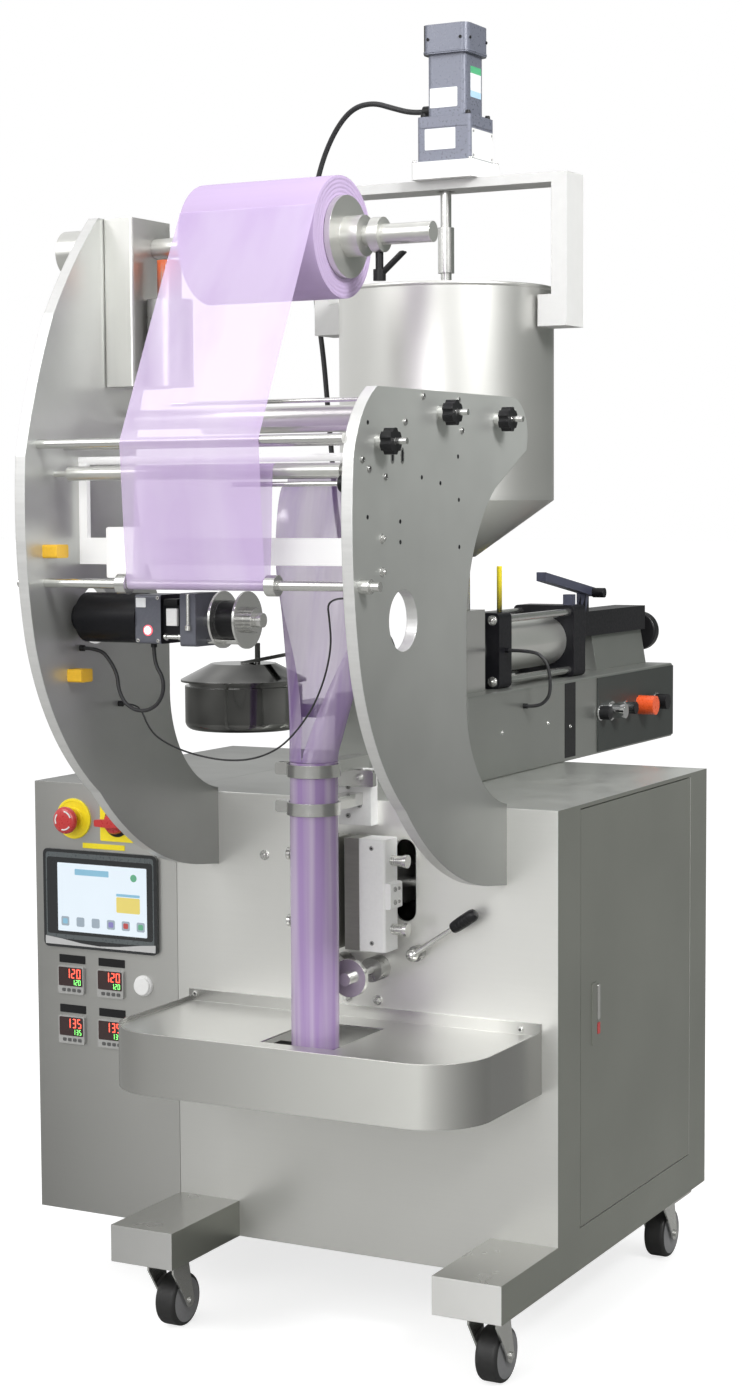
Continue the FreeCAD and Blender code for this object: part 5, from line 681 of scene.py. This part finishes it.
for middle, look in ((56, display_bar), (83, display_grey), (110, display_grey), (137, display_violet),
                     (163, display_red), (189, display_green)):
    panel.prism("y", rounded(middle - 7, middle + 7, 432, 446, 2.5), -6.6, -6.45, display_grey, 0)
    panel.prism("y", rounded(middle - 4.2, middle + 4.2, 435, 443, 2), -6.7, -6.55, look, 0)
panel.done("operator_panel", stands_for=("touch_screen",))

# Buttons and meters on the control cabinet
small = Build()
small.spin(STOP, FORWARD, [(0, 30), (2.2, 30), (3, 29.2), (3, 26), (2.4, 25.4), (2.4, 17), (3, 16.6),
                           (5, 15.8), (5, 9.6), (0, 9.6), (0, 30)], yellow_plastic, 64)
small.prism("y", rounded(118, 176, 562, 620, 2.5), -3, 0, yellow_plastic, 0.6)
small.spin(KNOB, FORWARD, [(3, 22), (3.3, 21.6), (3.3, 0)], black_plastic, 48)
small.prism("y", rounded(85, 159, 549, 557, 0.8), -0.7, 0, yellow_plastic, 0.15)
small.spin((189, 0, 352), FORWARD, [(0, 15.4), (3, 15.4), (4.2, 14.6), (4.2, 13.9), (4.6, 13.6),
                                    (7.2, 13.2), (8, 12.2), (8, 0)], white_paint, 48)
for left in (39, 109):
    for low, shown, wanted in ((329, "120", "120"), (254, "135", "135")):
        small.prism("y", rounded(left, left + 46, low, low + 42, 3), -4.2, 0, trim_grey, 0.7)
        small.prism("y", rounded(left + 2, left + 44, low + 12, low + 40, 1.6), -4.7, -4, meter_glass, 0.3)
        digits(small, shown, left + 41, low + 24, 14, -4.72, digit_red)
        digits(small, wanted, left + 41, low + 14, 8, -4.72, digit_green)
        for step in range(4):
            key = left + 8 + step * 9
            small.prism("y", rounded(key, key + 6, low + 3.5, low + 8.5, 1.5), -5, -4, display_dark, 0.3)
        small.prism("y", rounded(left + 1, left + 47, low + 46, low + 58, 0.8), -0.8, 0, black_plastic, 0.2)
small.done("cabinet_controls", stands_for=("panel_instruments",))

stop = Build()
stop.spin(STOP, FORWARD, [
    (-17, 0), (-17, 7.8), (-16.4, 8.4), (11.4, 8.4), (11.4, 13.6), (13, 13.6), (15.5, 14.4), (17, 17.6),
    (20, 19.6), (23, 20), (25.4, 19.2), (27.4, 16.6), (28.5, 12.6), (29, 6.5), (29, 0)], red_plastic, 64)
for first in (20, 140, 260):
    spots = []
    for number in range(13):
        angle = math.radians(first + 62 * number / 12)
        spots.append((STOP[0] + 13.6 * math.cos(angle), -28.35, STOP[2] + 13.6 * math.sin(angle)))
    stop.sweep(spots, 1.2, white_paint, 6)
stop.done("stop_head", "stop_button", ("emergency_stop",))

turn_knob = Build()
turn_knob.spin(KNOB, FORWARD, [(3.4, 17), (9, 17), (12, 16.4), (14.4, 15), (15.3, 12), (15.3, 0)],
               red_plastic, 48)
grip = [(-25, -3.2), (-23.5, -5), (-12, -5.6), (0, -6), (12, -5.6), (23.5, -5), (25, -3.2),
        (25, 3.2), (23.5, 5), (12, 5.6), (0, 6), (-12, 5.6), (-23.5, 5), (-25, 3.2)]
turn_knob.prism("y", [(KNOB[0] + u, KNOB[2] + v) for u, v in grip], -25.2, -14, red_plastic, 1.8, 3)
turn_knob.done("selector_grip", "selector", ("selector_switch",))


# Film
def belt(circles):
    """The line a band follows over rollers, as (y, z) in millimetres off the cabinet corner."""
    ways = []
    for (y0, z0, near), (y1, z1, far) in zip(circles, circles[1:]):
        ways.append(math.atan2(z1 - z0, y1 - y0) - math.asin((near - far) / math.hypot(y1 - y0, z1 - z0)))
    spots = []
    for index, (y, z, radius) in enumerate(circles[:-1]):
        start = ways[max(index - 1, 0)]
        sweep = math.remainder(ways[index] - start, math.tau)
        if radius > 0 and sweep > 0:
            sweep -= math.tau
        if radius < 0 and sweep < 0:
            sweep += math.tau
        count = max(math.ceil(abs(sweep) / math.radians(9)), 1) if index else 0
        for number in range(count + 1):
            way = start + sweep * number / max(count, 1)
            spots.append((y - radius * math.sin(way), z + radius * math.cos(way)))
    y, z = spots[-1]
    spots.append((y + 12 * math.cos(ways[-1]), z + 12 * math.sin(ways[-1])))
    return spots


def skin(name, rows, look, nodes=(), closed=False):
    """A thin sheet through rows of places, in millimetres off the cabinet corner."""
    solid = bmesh.new()
    bands(solid, [[solid.verts.new(at(*place)) for place in row] for row in rows], closed)
    data = bpy.data.meshes.new(name)
    solid.to_mesh(data)
    solid.free()
    for face in data.polygons:
        face.use_smooth = True
    data.materials.append(look)
    item = put(name, data)
    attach(item, "machine")
    if nodes:
        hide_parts(*nodes)
    return item


spots = belt([(ROLL_Y, ROLL_Z, -77.7), (-424, 1131, -6.7), (-412, 956, -6.7), (-388, 1094, 9.7),
              (-22, 1098, 10.7), (-102, 712, 0)])
rows = []
for near, far in zip(spots, spots[1:]):
    reach = math.dist(near, far)
    count = max(int(reach / 12), 1)
    for number in range(count):
        part = number / count
        swell = 0.5 * math.sin(math.pi * part) ** 2 if reach > 60 else 0.0
        row = []
        for column in range(ACROSS + 1):
            share = column / ACROSS
            wave = swell * math.sin(19 * share + 2.4 * part) * math.sin(7 * share + 3 * part)
            row.append((FILM_LEFT + FILM_WIDTH * share,
                        near[0] + (far[0] - near[0]) * part + wave * (far[1] - near[1]) / reach,
                        near[1] + (far[1] - near[1]) * part - wave * (far[0] - near[0]) / reach))
        rows.append(row)
rows.append([(FILM_LEFT + FILM_WIDTH * column / ACROSS, *spots[-1]) for column in range(ACROSS + 1)])
web = skin("film_over_rollers", rows, web_film, ("film_web",))

start_y, start_z = spots[-1]
rows = []
for number in range(FALL_ROWS + 1):
    down = number / FALL_ROWS
    curl = math.pi * (0.02 + 0.98 * down ** 0.55)
    flat = 1 - 0.62 * math.sin(math.pi * min(down / 0.96, 1)) ** 0.7
    spread = 1 / curl
    line = [(spread * math.sin(curl * side), -spread * flat * (1 - math.cos(curl * side)))
            for side in (column / HALF_FALL - 1 for column in range(2 * HALF_FALL + 1))]
    size = (FILM_WIDTH + 5.5 * down) / sum(math.dist(near, far) for near, far in zip(line, line[1:]))
    back_y = start_y + (-102.4 - start_y) * down
    row = []
    for column, (across, out) in enumerate(line):
        side = column / HALF_FALL - 1
        fold = 1.6 * math.sin(15 * side + 4 * down) * math.sin(math.pi * down) ** 0.6 * (1 - abs(side) * 0.3)
        row.append((546 + 6 * down + size * across, back_y + size * out + fold,
                    start_z + (712.5 - start_z) * down))
    rows.append(row)
fall = skin("film_fall", rows, shaded_fall_film)

rows = []
for number in range(TUBE_ROWS + 1):
    low = TUBE_TOP - (TUBE_TOP - TUBE_LOW) * number / TUBE_ROWS
    row = []
    for column in range(TUBE_SIDES):
        angle = math.tau * column / TUBE_SIDES
        soft = 0.35 * (1 + math.sin(3 * angle + 0.012 * low)) + 0.25 * (1 + math.sin(7 * angle - 0.02 * low))
        reach = TUBE_RADIUS - soft
        row.append((TUBE_X + reach * math.sin(angle), TUBE_Y + reach * math.cos(angle), low))
    rows.append(row)
tube = skin("film_tube_walls", rows, tube_film, ("film_tube",), True)

reel = Build()
ends = [(0.6, 30), (0.6, 52)]
for number in range(14):
    radius = 53 + number * 1.75
    ends += [(0.25 + 0.3 * ((number * 5) % 3), radius), (0.25 + 0.3 * ((number * 7 + 1) % 3), radius + 1.1)]
profile = ends + [(1.2, 76.9), (60, 77), (100, 76.8), (150, 77), (198.8, 76.9)]
profile += [(200 - along, radius) for along, radius in reversed(ends)]
reel.spin((446, ROLL_Y, ROLL_Z), (1, 0, 0), profile, roll_film, 128)
reel.spin((446, ROLL_Y, ROLL_Z), (1, 0, 0), [(0.1, 14.5), (0.1, 37), (199.9, 37), (199.9, 14.5)],
          core_card, 48)
reel.done("film_reel", "film_spool", ("film_roll",))

# Hand lever on the front plate
lever = Build()
way = Vector((math.sin(math.radians(56)), 0, math.cos(math.radians(56))))
hub = Vector((LEVER_X, -20.3, LEVER_Z))
lever.spin((LEVER_X, -0.4, LEVER_Z), FORWARD, [
    (0, 5.4), (9, 5.4), (11, 3.4), (13, 5.6), (15, 7.4), (17.5, 8.6), (20, 9), (22.5, 8.7), (25, 7.4),
    (27, 5.3), (28.5, 2.4), (28.8, 0)], bright_steel, 40)
lever.spin(hub, way, [(6, 4.6), (9, 4.8), (12, 4.4), (40, 3.7), (76, 3.2), (78, 0)], bright_steel, 28)
lever.spin(hub, way, [
    (74, 3.6), (74, 6.6), (75.2, 7.6), (79, 8.2), (84, 8.7), (84.8, 8.2), (85.6, 8.7), (90, 8.9),
    (90.8, 8.3), (91.6, 8.9), (96, 8.9), (96.8, 8.3), (97.6, 8.9), (102, 8.8), (102.8, 8.2), (103.6, 8.8),
    (110, 8.7), (114, 7.8), (116.2, 5.6), (117, 0)], black_plastic, 32)
lever.done("lever_arm", "nip_lever", ("hand_lever",))

# Finishes by place on the solid pieces
paint("filler_cylinder", [satin_aluminium, bright_steel, yellow_plastic, linkage_paint],
      lambda x, y, z: (3 if z > 922 and y < 420 else
                       0 if z > 888 and y < 420 else
                       1 if 416 < y < 654 and math.hypot(x - 538, z - 831) < 41 else
                       2 if 416 < y < 654 and z < 890 else
                       4 if z > 890 and y > 560 and x < 583 else 0))
# Right-facing sides take the dark side steel and tops the top steel: painted shade and painted highlight.
paint("main_cabinet", [shaded_side_steel, shaded_and_lit_top],
      lambda x, y, z: 1 if x > RIGHT_SIDE else 2 if z > CABINET_TOP else 0)
paint("control_cabinet", [shaded_and_lit_top], lambda x, y, z: 1 if z > CABINET_TOP else 0)
# Leg tops take a darker steel, right-facing sides the dark side steel and fronts a lighter steel: painted
# shade and painted highlight.
paint("skid_legs", [shaded_leg_top, shaded_side_steel, lit_leg_front],
      lambda x, y, z: 1 if z > 51.9 else 2 if 347.9 < x < 348.1 or x > RIGHT_SIDE else 3 if y < -181.9 else 0)
# The tray's floor takes a darker steel: painted shade.
paint("front_tray", [shaded_tray_floor], lambda x, y, z: 1 if 338.5 < z < 339.5 else 0)
# The front plate's right-facing side takes the dark side steel: painted shade.
paint("front_plate", [shaded_side_steel], lambda x, y, z: 1 if x > RIGHT_SIDE else 0)
# The plates' front edges take a lighter steel: painted highlight.
paint("side_plate_right", [lit_plate_edge], lambda x, y, z: 1 if 758.3 < x < 772.7 else 0)
paint("side_plate_left", [lit_plate_edge], lambda x, y, z: 1 if 305.3 < x < 319.7 else 0)
paint("stirrer_drive", [white_paint, black_plastic],
      lambda x, y, z: 1 if z < 1547.5 else 2 if x < 524.9 and z > 1600 else 0)
paint("plate_knobs", [bright_steel],
      lambda x, y, z: 1 if (x > 797.2 or x < 782.8)
      and not (738 <= x <= 758.5 and z < 1092 and y < -380) else 0)
paint("vertical_jaw_right", [jaw_side, bright_steel],
      lambda x, y, z: 1 if x < 579.05 else 2 if x > 620.05 or y > -21 else 0)
paint("vertical_jaw_left", [jaw_side, bright_steel],
      lambda x, y, z: 1 if x > 524.95 else 2 if x < 483.95 or y > -21 else 0)
paint("coder_spools", [ribbon_black, worn_steel],
      lambda x, y, z: 1 if 540.05 < x < 571.95 and 12 < math.hypot(y - SPOOL_Y, z - SPOOL_Z) < 24.5 else 0)
paint("date_coder", [coder_grey, bright_steel],
      lambda x, y, z: 1 if 426.05 <= x <= 463.95 or x > 492.05 else 0)
paint("unwind_motor", [orange_band, black_plastic], lambda x, y, z: 1 if z > 1338 else 0)
paint("filler_panel", [chrome_trim, orange_red, black_plastic],
      lambda x, y, z: 0 if x < 616.2 else 1 if 738 < y < 768 or 800 < y < 830 and x < 628 else
      2 if 858 < y < 898 and x > 624 else 1 if 858 < y < 898 else 3)
paint("tube_rings", [white_paint, bright_steel], lambda x, y, z: 1 if y > -20.2 and z < 691 else 0)
for place in ("left_front", "left_rear", "right_front", "right_rear"):
    low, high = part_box("caster_wheel_" + place)
    y0 = (low.y + high.y) * 500 + MIDDLE_Y
    z0 = (low.z + high.z) * 500 - CASTER_HEIGHT
    paint("caster_wheel_" + place, [hub_grey, bright_steel],
          lambda x, y, z, y0=y0, z0=z0: (2 if math.hypot(y - y0, z - z0) < 9 else
                                         1 if math.hypot(y - y0, z - z0) < 27 else 0))

# Screws, labels and other small pieces
bits = Build()
for x, y in ((520, 264), (592, 264), (592, 330), (520, 330)):
    bits.screw((x, y, 1612), (0, 0, 1), 4, 6, black_plastic)
for x, y in ((511, 253), (601, 253), (601, 341), (511, 341)):
    bits.screw((x, y, 1547), (0, 0, 1), 3.4, 3, bright_steel)
bits.prism("z", rounded(512.4, 599.6, 256.4, 337.6, 8), 1595.5, 1599, grey_paint, 0.8)
bits.prism("z", rounded(518.4, 593.6, 259.4, 334.6, 12), 1703, 1705.5, grey_paint, 0.8)
bits.prism("y", rounded(530, 574, 1625, 1653, 1.2), 265.5, 266.1, label_white, 0.15)
bits.prism("y", rounded(526, 575, 1564, 1594, 1.2), 256.5, 257.1, label_white, 0.15)
for low, high, look in ((1674, 1684, label_green), (1649, 1674, label_white), (1640, 1649, label_blue)):
    bits.prism("x", rounded(283, 318, low, high, 0.8), 586.9, 587.4, look, 0.1)
bits.prism("x", rounded(262, 332, 1550, 1592, 1.2), 598.9, 599.5, white_paint, 0.15)
for y, z in ((266, 1554), (328, 1554), (328, 1588), (266, 1588)):
    bits.screw((599.5, y, z), (1, 0, 0), 1.9, 0.9, worn_steel)
for x in (530, 582):
    bits.screw((x, 260, 1722), FORWARD, 2.4, 1.4, black_plastic)
for y in (270, 324):
    bits.screw((593, y, 1722), (1, 0, 0), 2.4, 1.4, black_plastic)
bits.done("drive_labels_and_screws")

plate = Build()
for y, z in ((-246, 1186), (-146, 1184), (-295, 1153), (-136, 1146), (-407, 1106), (-390, 1095),
             (-348, 1086)):
    plate.screw((PLATE_FACE, y, z), (1, 0, 0), 4.4, 2.4, worn_steel)
for y, z in ((-392, 1150), (-147, 1113), (-250, 1086), (-198, 1079), (-145, 1058), (-394, 1038),
             (-309, 1032), (-309, 1007), (-144, 998)):
    plate.spin((PLATE_FACE, y, z), (1, 0, 0), [(0, 2.9), (0.3, 2.7), (0.3, 1.9), (0.12, 1.7), (0.12, 0)],
               dark_paint, 18)
for y, z in ((-358, 1012), (-358, 972)):
    plate.nut((PLATE_FACE, y, z), (1, 0, 0), 4.4, 4.4, bright_steel)
for y in (-329, -303):
    plate.prism("x", rounded(y - 4.4, y + 4.4, 1102, 1122, 4.3), PLATE_FACE, PLATE_FACE + 0.5, worn_steel,
                0.15)
    plate.prism("x", rounded(y - 2.2, y + 2.2, 1105, 1119, 2.1), PLATE_FACE + 0.4, PLATE_FACE + 0.6,
                dark_paint, 0)
plate.done("plate_screws")

front = Build()
for x, z in ((396, 558), (576, 366), (528, 366)):
    front.nut((x, 0.1, z), FORWARD, 5.4, 6.4, bright_steel)
for x, z in ((279, 349), (794, 346)):
    front.screw((x, -2, z), FORWARD, 4.6, 3.2, bright_steel)
front.nut((564, -29.9, 679), FORWARD, 5.2, 6, bright_steel)
for x, z in ((542, 665), (560, 640), (542, 625)):
    front.screw((x, -19.9, z), FORWARD, 3.6, 2.4, worn_steel)
front.done("front_bolts")

for side, body, sign in (("right", "seal_jaw_right", 1), ("left", "seal_jaw_left", -1)):
    jaw = Build()
    for z in (476, 570):
        jaw.spring((TUBE_X + sign * 69, -42, z), (TUBE_X + sign * 83, -42, z), 6.6, 0.8, 4.5, bright_steel)
        jaw.nut((TUBE_X + sign * 83.4, -42, z), (sign, 0, 0), 5.4, 3.4, bright_steel)
    for z in (458, 588):
        jaw.screw((TUBE_X + sign * 48, -61.9, z), FORWARD, 3.2, 1.8, worn_steel)
    jaw.prism("y", rounded(*sorted((TUBE_X + sign * 61, TUBE_X + sign * 76)), 505, 541, 3), -60, -26,
              white_paint, 1.0)
    for z in (514, 532):
        jaw.screw((TUBE_X + sign * 76, -48, z), (sign, 0, 0), 3.6, 2.2, worn_steel)
        jaw.screw((TUBE_X + sign * 76, -36, z), (sign, 0, 0), 2.6, 1.8, worn_steel)
    jaw.done("jaw_%s_fittings" % side, body)

coder = Build()
coder.prism("y", rounded(427.5, 442, 925, 937, 1), -369.6, -368.9, label_white, 0.15)
coder.spin((445, -368.9, 896), FORWARD, [(0, 7), (0.9, 6.8), (1.2, 6.2), (1.2, 0)], lamp_red, 32)
coder.spin((445, -370, 896), FORWARD, [(0, 5.4), (0.7, 5.0), (0.9, 3.5), (0.9, 0)], lamp_white, 32)
for x, z in ((430, 883), (460, 883), (460, 937)):
    coder.screw((x, -368.9, z), FORWARD, 2.6, 1.6, bright_steel)
coder.block((470, -366, 902), (486, -350, 924), white_paint, 1.2)
coder.block((468, -368, 928), (488, -352, 936), ribbon_black, 1.0)
coder.spin((466, -362, 888), (1, 0, 0), [(0, 4.6), (3, 4.6), (4, 3), (20, 3), (21, 4.2), (25, 4.2),
                                         (25, 0)], bright_steel, 24)
coder.rod((505, -369.5, 900), (505, -369.5, 943), 2.6, bright_steel)
coder.spin((505, -369.5, 897), (0, 0, 1), [(0, 4.4), (6, 4.4), (7, 3), (7, 0)], bright_steel, 24)
coder.spin((587, SPOOL_Y, SPOOL_Z), (1, 0, 0), [(0, 9.4), (9.2, 9.4), (9.9, 8.6), (9.9, 0)], bright_steel, 6)
teeth = 18
for number in range(teeth):
    angle = math.tau * number / teeth
    y, z = SPOOL_Y + 15.1 * math.cos(angle), SPOOL_Z + 15.1 * math.sin(angle)
    coder.rod((576, y, z), (586.6, y, z), 1.0, worn_steel, 8, 0.2)
coder.done("coder_fittings")

lock = Build()
lock.prism("x", rounded(134, 144, 318, 334, 2), DOOR_FACE, DOOR_FACE + 0.5, red_plastic, 0.15)
lock.prism("x", rounded(134, 144, 338, 388, 3), DOOR_FACE, DOOR_FACE + 0.5, bright_steel, 0.15)
lock.done("door_lock_face", "door")

fill = Build()
fill.prism("x", rounded(565, 608, 651, 769, 1), FILLER_FACE, FILLER_FACE + 0.5, black_plastic, 0.15)
for y, z in ((586, 700), (500, 712), (330, 712)):
    fill.screw((FILLER_FACE, y, z), (1, 0, 0), 3.2, 1.6, bright_steel)
for x in (496, 580):
    for z in (784, 877):
        fill.nut((x, 370, z), FORWARD, 5.6, 6.4, bright_steel)
        fill.nut((x, 703, z), (0, 1, 0), 5.6, 6.4, bright_steel)
for y, ring in ((707, 9), (753, 12.4), (815, 8), (956, 11)):
    fill.spin((616, y, 712), (1, 0, 0), [(0, ring + 4), (1.4, ring + 4), (2.2, ring + 3), (2.2, 0)],
              chrome_trim, 40)
fill.done("filler_fittings")

# Floor
ground = bpy.data.meshes.new("floor")
ground.from_pydata([(-60, -60, 0), (60, -60, 0), (60, 60, 0), (-60, 60, 0)], [], [(0, 1, 2, 3)])
floor = put("floor", ground)
ground_look, floor_tree = blank("pale_floor")
ground_path = add(floor_tree, "LightPath")
ground_sum = add(floor_tree, "AddShader")
ground_dull = add(floor_tree, "BsdfDiffuse", Color=(0.42, 0.42, 0.41, 1))
ground_seen = add(floor_tree, "BsdfDiffuse")
ground_noise = add(floor_tree, "TexNoise", Scale=3.0)
ground_tone = add(floor_tree, "MapRange", To_Min=0.50, To_Max=0.53)
ground_light = add(floor_tree, "Emission", Strength=0.72)
link(ground_noise.outputs["Fac"], ground_tone.inputs["Value"])
link(ground_tone.outputs["Result"], ground_seen.inputs["Color"])
link(ground_seen.outputs[0], ground_sum.inputs[0])
link(ground_light.outputs[0], ground_sum.inputs[1])
mixed(floor_tree, "OutputMaterial", ground_path.outputs["Is Camera Ray"], ground_dull, ground_sum)
floor.data.materials.append(ground_look)
